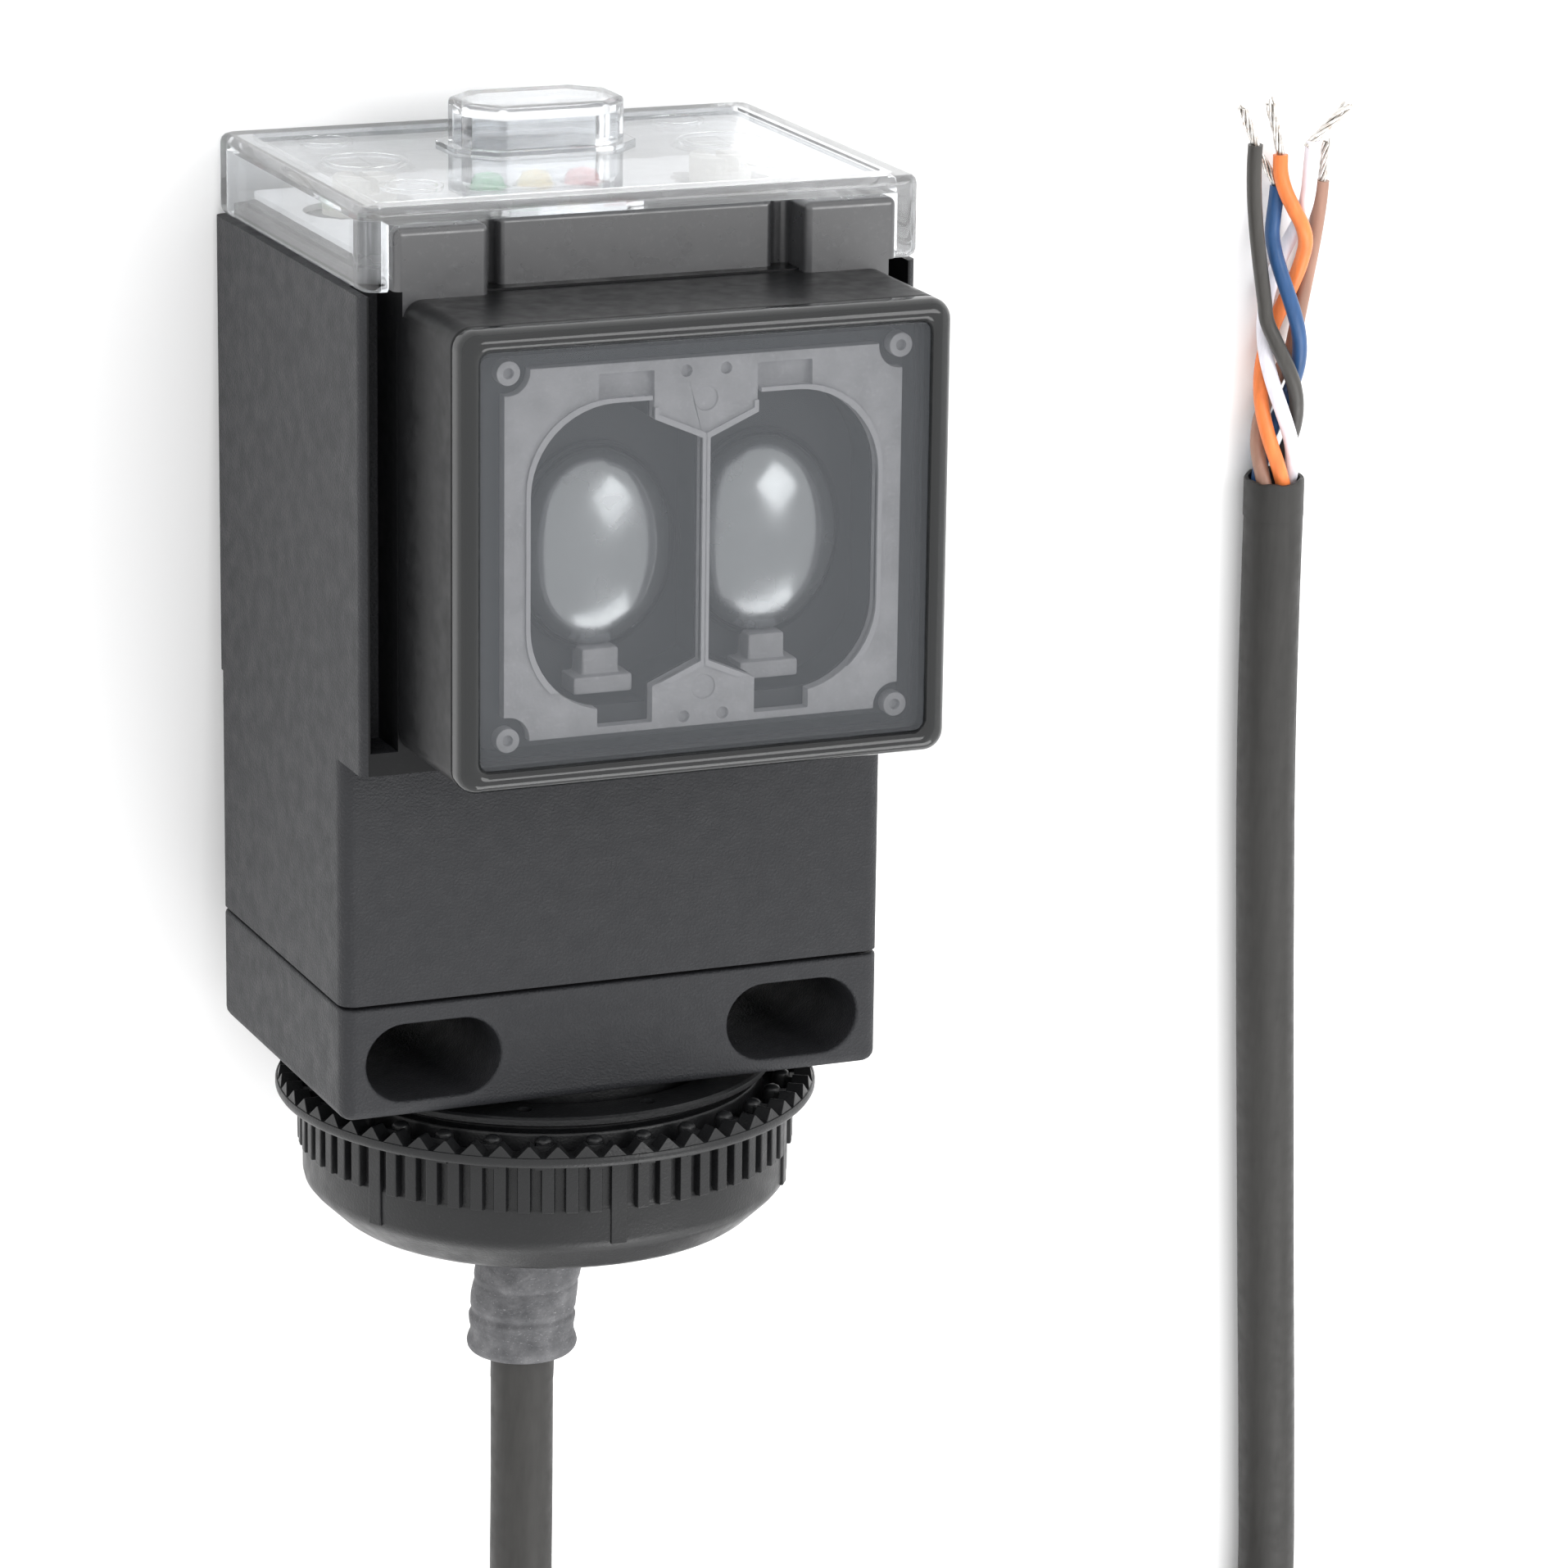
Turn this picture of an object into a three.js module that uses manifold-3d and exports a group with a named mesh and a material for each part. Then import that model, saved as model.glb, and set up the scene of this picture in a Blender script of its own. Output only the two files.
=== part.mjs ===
// Photoelectric sensor with a threaded nose, ring nut, clear adjustment cover and a flying lead.
// Millimetres. The outer frame has +Z up from the surface that the sensor lies on.
// The sensor's own axes are X across its face, Y along its body from the nose to the clear cover,
// and Z out of its back and through its lenses. It lies on its back, tipped onto its ring nut.
import * as THREE from 'three';
import { mergeVertices } from 'three/addons/utils/BufferGeometryUtils.js';
import Module from 'manifold-3d';

const wasm = await Module();
wasm.setup();

// ---- driving dimensions ----
const gap = 0.3;
const bodyWidth = 45.7;
const baseHeight = 9.2;
const lowerDepth = 30.7;
const upperDepth = 35.5;
const ledgeY = 29.5;
const housingTop = 66.9;
const wall = 2;
const cornerRadius = 1.3;

const podWidth = 39.7;
const podBottom = 31.3;
const podTop = 66.75;
const podFront = 47.5;
const windowFront = 49.6;
const windowThickness = 1.8;
const opticsCentreY = (podBottom + podTop) / 2;
const opticsOffsetX = 6.8;

const deckTop = 68.5;
const neckTop = 72.2;
const neckFront = 36.8;
const coverTop = 73.7;
const coverBack = 0.8;
const coverFront = 36.2;
const coverWall = 1.25;
const domeTop = 77.2;

const slotSpacing = 30.5;
const slotLength = 11.2;
const slotHeight = 6.3;
const slotY = 4.47;

const noseZ = 15;
const noseRadius = 14.5;
const noseLength = 13.5;
const gasketThickness = 0.6;
const washerRadius = 18.5;
const flangeRadius = 22.1;
const flangeTop = -3;
const flangeBottom = -3.96;
const nutBodyRadius = 20.3;
const nutBottom = -14.2;
const nutChamferTop = -11.2;

const reliefRadius = 4.25;
const reliefEnd = -28.3;
const lipEnd = -26.7;
const cableSleeve = 2.85;
const reliefSway = 2;

const cableDiameter = 5.2;
const wireDiameter = 1.25;
const strandDiameter = 0.8;

const adjusterX = 15;
const adjusterZ = 14;
const adjusterRadius = 3.5;
const indicatorZ = 12;
const indicatorSpacing = 4;
const indicatorRadius = 1.5;

const halfWidth = bodyWidth / 2;
const halfPod = podWidth / 2;

// ---- materials ----
const finish = (color, roughness, metalness = 0, extra = {}) =>
  new THREE.MeshStandardMaterial({ color, roughness, metalness, ...extra });
const blackPlastic = () => finish(0x2b2c2e, 0.55);
const greyPlastic = () => finish(0x8a8c8f, 0.6);
const clearPlastic = () => finish(0xeef4f6, 0.08, 0, { transparent: true, opacity: 0.3 });
const smokedPlastic = () => finish(0x55595c, 0.15, 0, { transparent: true, opacity: 0.5 });
const rubber = (color) => finish(color, 0.85);
const boardGreen = () => finish(0x1f5a38, 0.5);
const packageBlack = () => finish(0x17181a, 0.45);
const metal = () => finish(0xc4c6c8, 0.3, 1);

// ---- shape and solid helpers ----
const sensor = new THREE.Group();
const part = new THREE.Group();
part.add(sensor);

function solid(geometry) {
  const bare = geometry.index ? geometry.toNonIndexed() : geometry.clone();
  bare.deleteAttribute('normal');
  bare.deleteAttribute('uv');
  const merged = mergeVertices(bare, 1e-4);
  return new wasm.Manifold(new wasm.Mesh({
    numProp: 3,
    vertProperties: merged.attributes.position.array,
    triVerts: new Uint32Array(merged.index.array),
  }));
}

function geometryOf(body) {
  const mesh = body.getMesh();
  const geometry = new THREE.BufferGeometry();
  geometry.setAttribute('position', new THREE.BufferAttribute(new Float32Array(mesh.vertProperties), 3));
  geometry.setIndex(new THREE.BufferAttribute(new Uint32Array(mesh.triVerts), 1));
  geometry.computeVertexNormals();
  return geometry;
}

function addPiece(name, body, material, group = sensor) {
  const mesh = new THREE.Mesh(geometryOf(body), material);
  mesh.name = name;
  group.add(mesh);
  return mesh;
}

function roundedRect(x0, y0, x1, y1, r) {
  const shape = new THREE.Shape();
  shape.moveTo(x0 + r, y0);
  shape.lineTo(x1 - r, y0);
  shape.absarc(x1 - r, y0 + r, r, -Math.PI / 2, 0, false);
  shape.lineTo(x1, y1 - r);
  shape.absarc(x1 - r, y1 - r, r, 0, Math.PI / 2, false);
  shape.lineTo(x0 + r, y1);
  shape.absarc(x0 + r, y1 - r, r, Math.PI / 2, Math.PI, false);
  shape.lineTo(x0, y0 + r);
  shape.absarc(x0 + r, y0 + r, r, Math.PI, Math.PI * 1.5, false);
  return shape;
}

function polygon(points) {
  return new THREE.Shape(points.map(([x, y]) => new THREE.Vector2(x, y)));
}

// A shape drawn in X and Y, running from z0 to z1.
function facing(shape, z0, z1, curveSegments = 4) {
  const geometry = new THREE.ExtrudeGeometry(shape, { depth: z1 - z0, bevelEnabled: false, curveSegments });
  geometry.translate(0, 0, z0);
  return solid(geometry);
}

// A shape drawn in X and Z, running from y0 to y1.
function rising(shape, y0, y1, curveSegments = 4) {
  const geometry = new THREE.ExtrudeGeometry(shape, { depth: y1 - y0, bevelEnabled: false, curveSegments });
  geometry.rotateX(Math.PI / 2);
  geometry.translate(0, y1, 0);
  return solid(geometry);
}

function block(x0, x1, y0, y1, z0, z1) {
  const geometry = new THREE.BoxGeometry(x1 - x0, y1 - y0, z1 - z0);
  geometry.translate((x0 + x1) / 2, (y0 + y1) / 2, (z0 + z1) / 2);
  return solid(geometry);
}

// A profile of [radius, y] points, listed upward along its outside, turned about the Y axis.
function turned(profile, segments, x = 0, z = 0) {
  const points = profile.map(([r, y]) => new THREE.Vector2(r, y));
  const geometry = new THREE.LatheGeometry(points, segments);
  geometry.translate(x, 0, z);
  return solid(geometry);
}

function cylinderY(radius, y0, y1, x, z, segments = 24) {
  return turned([[0, y0], [radius, y0], [radius, y1], [0, y1]], segments, x, z);
}

function cylinderZ(radius, z0, z1, x, y, segments = 24) {
  const geometry = new THREE.CylinderGeometry(radius, radius, z1 - z0, segments);
  geometry.rotateX(Math.PI / 2);
  geometry.translate(x, y, (z0 + z1) / 2);
  return solid(geometry);
}

const ringY = (outer, inner, y0, y1, x, z, segments = 32) =>
  turned([[inner, y0], [outer, y0], [outer, y1], [inner, y1], [inner, y0]], segments, x, z);

// ---- housing ----
function slotShape(x) {
  const r = slotHeight / 2;
  const half = slotLength / 2 - r;
  const shape = new THREE.Shape();
  shape.moveTo(x - half, slotY - r);
  shape.lineTo(x + half, slotY - r);
  shape.absarc(x + half, slotY, r, -Math.PI / 2, Math.PI / 2, false);
  shape.lineTo(x - half, slotY + r);
  shape.absarc(x - half, slotY, r, Math.PI / 2, Math.PI * 1.5, false);
  return shape;
}

const spigotInset = 3.85;
const spigotTop = 12;
const cableChamber = 8;

function baseBody() {
  const plan = roundedRect(-halfWidth, 0, halfWidth, lowerDepth, cornerRadius);
  const spigot = roundedRect(
    -halfWidth + spigotInset, spigotInset - 0.9, halfWidth - spigotInset, lowerDepth - spigotInset + 0.9, 1);
  let body = rising(plan, 0, baseHeight)
    .add(rising(spigot, baseHeight - 1, spigotTop))
    .add(cylinderY(noseRadius, -noseLength, 1, 0, noseZ, 48))
    .subtract(cylinderY(cableChamber, -noseLength - 1, spigotTop + 1, 0, noseZ, 24));
  for (const side of [-1, 1]) {
    body = body.subtract(facing(slotShape(side * slotSpacing / 2), -1, lowerDepth + 1, 6));
  }
  return body;
}

const slotWallInner = halfWidth - 0.75;
const sideSlotBack = 31;
const grooveBack = 33;
const panelFront = 34.2;
const padInner = 12.9;
const panelHalf = 11.3;
const neckHalf = 20.5;

function neckPlan() {
  const half = [
    [neckHalf, neckFront], [padInner, neckFront], [padInner, grooveBack],
    [panelHalf, grooveBack], [panelHalf, panelFront],
  ];
  const mirrored = half.map(([x, z]) => [-x, z]).reverse();
  return polygon([[-neckHalf, sideSlotBack + 0.5], [neckHalf, sideSlotBack + 0.5], ...half, ...mirrored]);
}

const deckHalf = 20.4;
const deckBack = 3.2;
const deckFront = 30.3;
const windowSeat = 46.6;
const windowInset = 0.9;

function mainHousing() {
  let body = rising(roundedRect(-halfWidth, 0, halfWidth, lowerDepth, cornerRadius), baseHeight + gap, ledgeY + 1)
    .add(rising(roundedRect(-halfWidth, 0, halfWidth, upperDepth, 0.7), ledgeY, housingTop))
    .add(facing(roundedRect(-halfPod, podBottom, halfPod, podTop, 1.6), 30, podFront))
    .add(rising(neckPlan(), housingTop - 1, neckTop))
    .add(rising(roundedRect(-deckHalf, deckBack, deckHalf, deckFront, 1), housingTop - 1, deckTop));
  for (const side of [-1, 1]) {
    const inner = side * halfPod;
    const outer = side * slotWallInner;
    body = body.subtract(
      block(Math.min(inner, outer), Math.max(inner, outer), podBottom, housingTop + 0.1, sideSlotBack, upperDepth + 1));
  }
  const cavityHalf = halfWidth - wall;
  body = body
    .subtract(block(-cavityHalf, cavityHalf, 0, housingTop - wall, wall, lowerDepth - wall))
    .subtract(block(-halfPod + wall, halfPod - wall, podBottom + wall, podTop - wall, 20, windowFront + 1))
    .subtract(facing(roundedRect(
      -halfPod + windowInset, podBottom + windowInset, halfPod - windowInset, podTop - windowInset, 1),
    windowSeat, windowFront + 1));
  for (const x of [-adjusterX, adjusterX]) {
    body = body.subtract(cylinderY(adjusterRadius + gap, housingTop - wall - 1, deckTop + 1, x, adjusterZ));
  }
  for (const step of [-1, 0, 1]) {
    body = body.subtract(cylinderY(
      indicatorRadius + gap, housingTop - wall - 1, deckTop + 1, step * indicatorSpacing, indicatorZ, 16));
  }
  return body;
}

function frameRing(outer, inner, y0, y1) {
  return rising(roundedRect(...outer, 1), y0, y1).subtract(rising(roundedRect(...inner, 0.6), y0 - 1, y1 + 1));
}

function baseGasket() {
  const clear = spigotInset - gap;
  const outer = clear - 1.2;
  return frameRing(
    [-halfWidth + outer, outer, halfWidth - outer, lowerDepth - outer],
    [-halfWidth + clear, clear - 0.9, halfWidth - clear, lowerDepth - clear + 0.9],
    baseHeight + gap + 0.4, baseHeight + 1.9);
}

addPiece('base_body', baseBody(), blackPlastic());
addPiece('base_gasket', baseGasket(), rubber(0x202122));
addPiece('main_housing', mainHousing(), blackPlastic());

// ---- front window and optics ----
function windowPlate(inset, z0, z1, r) {
  return facing(roundedRect(-halfPod + inset, podBottom + inset, halfPod - inset, podTop - inset, r), z0, z1);
}

// The pair of tunnels sits a little to the right of the pod's middle.
const tunnelShift = 0.55;

// One light tunnel's outline: straight beside the septum and well rounded on its outer side.
function tunnelShape(side, grow = 0) {
  const inner = side * tunnelShift + 0.3 - grow;
  const outer = side * tunnelShift + 14.1 + grow;
  const bottom = 36.5 - grow;
  const top = 60.2 + grow;
  const bigR = 6.8;
  const smallR = 2.6;
  const shape = new THREE.Shape();
  shape.moveTo(inner + smallR, bottom);
  shape.lineTo(outer - bigR, bottom);
  shape.absarc(outer - bigR, bottom + bigR, bigR, -Math.PI / 2, 0, false);
  shape.lineTo(outer, top - bigR);
  shape.absarc(outer - bigR, top - bigR, bigR, 0, Math.PI / 2, false);
  shape.lineTo(inner + smallR, top);
  shape.absarc(inner + smallR, top - smallR, smallR, Math.PI / 2, Math.PI, false);
  shape.lineTo(inner, bottom + smallR);
  shape.absarc(inner + smallR, bottom + smallR, smallR, Math.PI, Math.PI * 1.5, false);
  if (side > 0) {
    return shape;
  }
  return new THREE.Shape(shape.getPoints(5).slice(0, -1).map((p) => new THREE.Vector2(-p.x, p.y)).reverse());
}

const lensHalfX = 6.2;
const lensHalfY = 7.7;
const lensHalfZ = 2.9;
const lensZ = 42.9;
const lensY = 48.2;
const baffleBack = 36;
const lensFloor = 42.3;
const lensSeatTop = 44.3;
const baffleFront = 45.9;

function ellipseShape(x, y, rx, ry) {
  const shape = new THREE.Shape();
  shape.absellipse(x, y, rx, ry, 0, Math.PI * 2, false, 0);
  return shape;
}

function lensCarrier() {
  let body = facing(roundedRect(-15.6, 34.6, 16.6, 63.2, 0.4), baffleFront + gap, baffleFront + gap + 1.2);
  for (const side of [-1, 1]) {
    body = body.subtract(facing(tunnelShape(side), baffleFront, windowFront, 5));
  }
  return body;
}

function opticalBaffle() {
  let body = facing(roundedRect(-17.2, 33.8, 17.2, 64, 1), baffleBack, baffleFront);
  for (const side of [-1, 1]) {
    const x = side * opticsOffsetX;
    body = body
      .subtract(facing(tunnelShape(side), lensFloor, baffleFront + 1, 5))
      .subtract(facing(ellipseShape(x, lensY, lensHalfX + gap, lensHalfY + gap), baffleBack - 1, lensSeatTop, 24))
      .subtract(block(x - 4.5, x + 4.5, lensY - 5, lensY + 5, baffleBack - 1, baffleBack + 3));
  }
  return body;
}

function lens(side) {
  const geometry = new THREE.SphereGeometry(1, 24, 12);
  geometry.scale(lensHalfX, lensHalfY, lensHalfZ);
  geometry.translate(side * opticsOffsetX, lensY, lensZ);
  return solid(geometry);
}

// A round-topped lamp or detector that faces along +Z.
function opto(side, radius, z0, z1) {
  const dome = radius * 0.9;
  const profile = [
    [0, 0], [radius + 0.4, 0], [radius + 0.4, 1], [radius, 1], [radius, z1 - z0 - dome],
    [radius * 0.75, z1 - z0 - dome * 0.35], [0, z1 - z0],
  ];
  const geometry = new THREE.LatheGeometry(profile.map(([r, y]) => new THREE.Vector2(r, y)), 20);
  geometry.rotateX(Math.PI / 2);
  geometry.translate(side * opticsOffsetX, lensY, z0);
  return solid(geometry);
}

const opticsBoardZ = 27.9;
const boardThickness = 1.4;
const optoZ = opticsBoardZ + boardThickness + gap;
const windowBack = windowFront - windowThickness;

addPiece('front_window', windowPlate(0, windowBack, windowFront, 1.6), smokedPlastic());
addPiece('window_gasket',
  windowPlate(windowInset + gap, windowSeat + gap, windowBack - gap, 0.8)
    .subtract(windowPlate(wall + 0.1, windowSeat, windowBack, 0.6)),
  rubber(0x1c1d1e));
addPiece('lens_carrier', lensCarrier(), greyPlastic());
addPiece('optical_baffle', opticalBaffle(), blackPlastic());
addPiece('emitter_lens', lens(-1), clearPlastic());
addPiece('receiver_lens', lens(1), clearPlastic());
addPiece('emitter_led', opto(-1, 2.5, optoZ, optoZ + 5.4), smokedPlastic());
addPiece('receiver_photodiode', opto(1, 2.5, optoZ, optoZ + 5.4), packageBlack());
addPiece('optics_board', block(-16, 16, 36, 62, opticsBoardZ, opticsBoardZ + boardThickness), boardGreen());

// ---- electronics inside the body ----
const mainBoardZ = 8;
const chipZ = mainBoardZ + boardThickness + gap;
const indicatorBoardY = 61.4;
addPiece('main_board', block(-17.5, 17.5, 13.5, 60.6, mainBoardZ, mainBoardZ + boardThickness), boardGreen());
addPiece('control_chip', block(-5, 5, 38, 48, chipZ, chipZ + 1.6), packageBlack());
addPiece('output_transistor_left', block(-14, -8, 18, 25, chipZ, chipZ + 4), packageBlack());
addPiece('output_transistor_right', block(8, 14, 18, 25, chipZ, chipZ + 4), packageBlack());
addPiece('supply_capacitor', cylinderZ(3.2, chipZ, chipZ + 8, 0, 27, 20), finish(0x2a3550, 0.4));
addPiece('board_connector', block(-6, 6, 54, 58, chipZ, chipZ + 5), finish(0xe4e0d2, 0.5));
addPiece('indicator_board', block(-18.5, 18.5, indicatorBoardY, indicatorBoardY + boardThickness, 4, 24), boardGreen());

const indicatorFoot = indicatorBoardY + boardThickness + gap;
const indicatorTip = 70.6;
const indicators = [['indicator_green', -1, 0x3fae5a], ['indicator_yellow', 0, 0xe0b020], ['indicator_red', 1, 0xd83a34]];
for (const [name, step, color] of indicators) {
  const profile = [
    [0, indicatorFoot], [indicatorRadius, indicatorFoot], [indicatorRadius, indicatorTip - 1.2],
    [indicatorRadius * 0.7, indicatorTip - 0.3], [0, indicatorTip],
  ];
  addPiece(name, turned(profile, 16, step * indicatorSpacing, indicatorZ), finish(color, 0.2));
}

// ---- adjusters under the cover ----
const adjusterSeat = 68.8;
const rotorRadius = 2.5;
const rotorTop = 71.2;

function rotor(x, slotWidth) {
  return cylinderY(rotorRadius, adjusterSeat + gap, rotorTop, x, adjusterZ)
    .subtract(block(
      x - slotWidth / 2, x + slotWidth / 2, rotorTop - 1, rotorTop + 1, adjusterZ - 3, adjusterZ + 3));
}

addPiece('sensitivity_pot_body', cylinderY(adjusterRadius, indicatorFoot, adjusterSeat, -adjusterX, adjusterZ), packageBlack());
addPiece('sensitivity_pot_rotor', rotor(-adjusterX, 0.8), finish(0xd9d6c8, 0.45));
addPiece('mode_switch_body', cylinderY(adjusterRadius, indicatorFoot, adjusterSeat, adjusterX, adjusterZ), packageBlack());
addPiece('mode_switch_rotor', rotor(adjusterX, 1.2), finish(0xd9d6c8, 0.45));

function controlPanel() {
  let body = rising(roundedRect(-deckHalf + 0.4, deckBack + 0.4, deckHalf - 0.4, deckFront - 0.4, 1),
    deckTop + gap, deckTop + gap + 0.5);
  for (const x of [-adjusterX, adjusterX]) {
    body = body.subtract(cylinderY(adjusterRadius + 0.5, deckTop, deckTop + 2, x, adjusterZ));
  }
  for (const step of [-1, 0, 1]) {
    body = body.subtract(cylinderY(
      indicatorRadius + 0.35, deckTop, deckTop + 2, step * indicatorSpacing, indicatorZ, 16));
  }
  return body;
}

addPiece('control_panel', controlPanel(), finish(0xc9ccce, 0.5));

// ---- clear cover ----
const domeHalfX = 6.8;
const domeBack = 7.7;
const domeFront = 16.5;
const domeCut = 2.4;
const domeWall = 1.2;

function domePlan(inset) {
  const x = domeHalfX - inset;
  const z0 = domeBack + inset;
  const z1 = domeFront - inset;
  const cut = domeCut - inset * 0.4;
  return polygon([
    [-x + cut, z0], [x - cut, z0], [x, z0 + cut], [x, z1 - cut],
    [x - cut, z1], [-x + cut, z1], [-x, z1 - cut], [-x, z0 + cut],
  ]);
}

function topCover() {
  const skirtBottom = housingTop + gap;
  const ceiling = coverTop - 1.2;
  const inner = halfWidth - coverWall;
  const postDepth = 2.7;
  const postInner = neckHalf + gap;
  return rising(roundedRect(-halfWidth, coverBack, halfWidth, coverFront, cornerRadius), skirtBottom, coverTop)
    .add(rising(domePlan(0), coverTop - 0.5, domeTop))
    .subtract(block(-inner, inner, skirtBottom - 1, ceiling, coverBack + coverWall, coverFront - postDepth))
    .subtract(block(-postInner, postInner, skirtBottom - 1, ceiling, coverFront - postDepth - 1, coverFront + 1))
    .subtract(rising(domePlan(domeWall), ceiling - 1, domeTop - domeWall));
}

const gasketOuterHalf = halfWidth - coverWall - gap;
const gasketInnerHalf = gasketOuterHalf - gasketThickness;
const gasketBack = coverBack + coverWall + gap;
const gasketFront = deckFront + gap + gasketThickness;
addPiece('top_cover', topCover(), clearPlastic());
addPiece('cover_gasket', frameRing(
  [-gasketOuterHalf, gasketBack, gasketOuterHalf, gasketFront],
  [-gasketInnerHalf, gasketBack + gasketThickness, gasketInnerHalf, gasketFront - gasketThickness],
  housingTop + gap, housingTop + gap + 1), rubber(0x202122));

// ---- nose fittings ----
const ribGroups = 6;
const ribsPerGroup = 8;
const toothCount = 60;
const ribEnd = -8.2;
const ribDepth = 0.45;
const landTurn = THREE.MathUtils.degToRad(3.5);
const nutBore = noseRadius + gap + 0.05;

// The nut's plan at its ribs: six plain lands with eight narrow ribs between each two.
function ribbedPlan() {
  const points = [];
  const groupAngle = Math.PI * 2 / ribGroups;
  const stepAngle = groupAngle / (ribsPerGroup + 1);
  for (let group = 0; group < ribGroups; group += 1) {
    for (let step = 0; step <= ribsPerGroup; step += 1) {
      const middle = Math.PI / 2 + landTurn + group * groupAngle + step * stepAngle;
      for (const [share, r] of [[-0.28, nutBodyRadius], [0.28, nutBodyRadius],
        [0.36, nutBodyRadius - ribDepth], [0.64, nutBodyRadius - ribDepth]]) {
        points.push([r * Math.cos(middle + share * stepAngle), noseZ + r * Math.sin(middle + share * stepAngle)]);
      }
    }
  }
  return polygon(points);
}

function crownTooth(index) {
  const angle = index * Math.PI * 2 / toothCount;
  const halfBase = 0.62;
  const tooth = new THREE.ExtrudeGeometry(
    polygon([[-halfBase, flangeTop - 0.2], [halfBase, flangeTop - 0.2], [0, flangeTop + 0.62]]),
    { depth: 1.3, bevelEnabled: false });
  tooth.translate(0, 0, flangeRadius - 1.6);
  tooth.rotateY(angle);
  tooth.translate(0, 0, noseZ);
  return solid(tooth);
}

function mountingNut() {
  let body = turned([
    [nutBore, nutBottom], [16.8, nutBottom], [nutBodyRadius - ribDepth, nutChamferTop], [nutBodyRadius - ribDepth, flangeBottom],
    [flangeRadius, flangeBottom], [flangeRadius, flangeTop], [17, flangeTop], [17, -2], [nutBore, -2], [nutBore, nutBottom],
  ], 60, 0, noseZ);
  const ribs = rising(ribbedPlan(), ribEnd, flangeBottom + 0.2)
    .subtract(cylinderY(nutBodyRadius - ribDepth - 0.8, nutBottom, 0, 0, noseZ, 60));
  body = body.add(ribs);
  for (let index = 0; index < toothCount; index += 1) {
    body = body.add(crownTooth(index));
  }
  return body;
}

function strainRelief() {
  const profile = [
    [0, reliefEnd], [cableSleeve, reliefEnd], [cableSleeve, lipEnd], [3.7, lipEnd], [4.4, lipEnd + 1.6],
    [4.5, lipEnd + 2.4], [4.2, lipEnd + 4], [reliefRadius, -19.5], [4.5, -13], [6, -10.5],
    [7.5, -10], [7.5, -8], [0, -8],
  ];
  const points = profile.map(([r, y]) => new THREE.Vector2(r, y));
  const geometry = new THREE.LatheGeometry(points, 24);
  const place = geometry.attributes.position;
  for (let i = 0; i < place.count; i += 1) {
    const y = place.getY(i);
    const share = THREE.MathUtils.smoothstep(-y, 12, 27);
    place.setX(i, place.getX(i) - reliefSway * share);
  }
  geometry.translate(0, 0, noseZ);
  return solid(geometry);
}

addPiece('thrust_washer', ringY(washerRadius, nutBore, -1.7, -0.9, 0, noseZ, 60), blackPlastic());
addPiece('mounting_nut', mountingNut(), blackPlastic());
addPiece('gland_seal', ringY(7.6, 3.2, -7.6, -5.4, 0, noseZ), rubber(0x2a2a2b));
addPiece('inner_lead', cylinderY(cableDiameter / 2, -7.4, 12.6, 0, noseZ, 16), rubber(0x3c3a38));
addPiece('strain_relief', strainRelief(), rubber(0x5c5d5f));

// ---- lying on its back: tipped until the nut's rim and the housing's rear top edge touch the surface ----
sensor.rotation.x = -Math.atan((flangeRadius - noseZ) / (housingTop - flangeTop));
sensor.updateMatrixWorld(true);
const reach = new THREE.Box3().setFromObject(sensor, true);
sensor.position.set(0, -(reach.min.y + reach.max.y) / 2, -reach.min.z);
sensor.updateMatrixWorld(true);

// ---- cable: lead, coil and tail, in the outer frame ----
const cableRadius = cableDiameter / 2;
const cableSheath = () => rubber(0x55524e);
const coilCentre = [42.9, -136];
const coilPitch = 5.3;
const coilInner = 23.2;
const cableFloor = 2.7;

function tubeAlong(points, diameter, steps, sides) {
  const path = new THREE.CatmullRomCurve3(points.map((p) => new THREE.Vector3(...p)), false, 'centripetal');
  const section = new THREE.Shape();
  section.absarc(0, 0, diameter / 2, 0, Math.PI * 2, false);
  return solid(new THREE.ExtrudeGeometry(section, {
    steps, bevelEnabled: false, extrudePath: path, curveSegments: sides / 2,
  }));
}

// A closed outline of [distance from the coil's axis, height] points, turned about that axis.
function aboutCoil(outline, segments, fromAngle = 0, angle = Math.PI * 2) {
  const points = outline.map(([r, z]) => new THREE.Vector2(r, z));
  const geometry = new THREE.LatheGeometry(points, segments, fromAngle, angle);
  geometry.rotateX(Math.PI / 2);
  geometry.translate(coilCentre[0], coilCentre[1], 0);
  return geometry;
}

// The wound turns fill this outline: three layers, the lowest one a turn wider.
const coilInside = coilInner - cableRadius;
const coilWide = coilInner + 3 * coilPitch + cableRadius;
const coilNarrow = coilInner + 2 * coilPitch + cableRadius;
const coilLow = cableFloor - cableRadius;
const coilShoulder = cableFloor + coilPitch / 2;
const coilHigh = cableFloor + 2 * coilPitch + cableRadius;

function coilRing() {
  return solid(aboutCoil([
    [coilInside, coilLow], [coilWide, coilLow], [coilWide, coilShoulder],
    [coilNarrow, coilShoulder + 2], [coilNarrow, coilHigh], [coilInside, coilHigh], [coilInside, coilLow],
  ], 40));
}

// A strap over the turns, open only at the surface that the coil lies on.
const tieWidth = 4;
const tieThickness = 0.8;
const tieAngle = -Math.PI / 6;

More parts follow.
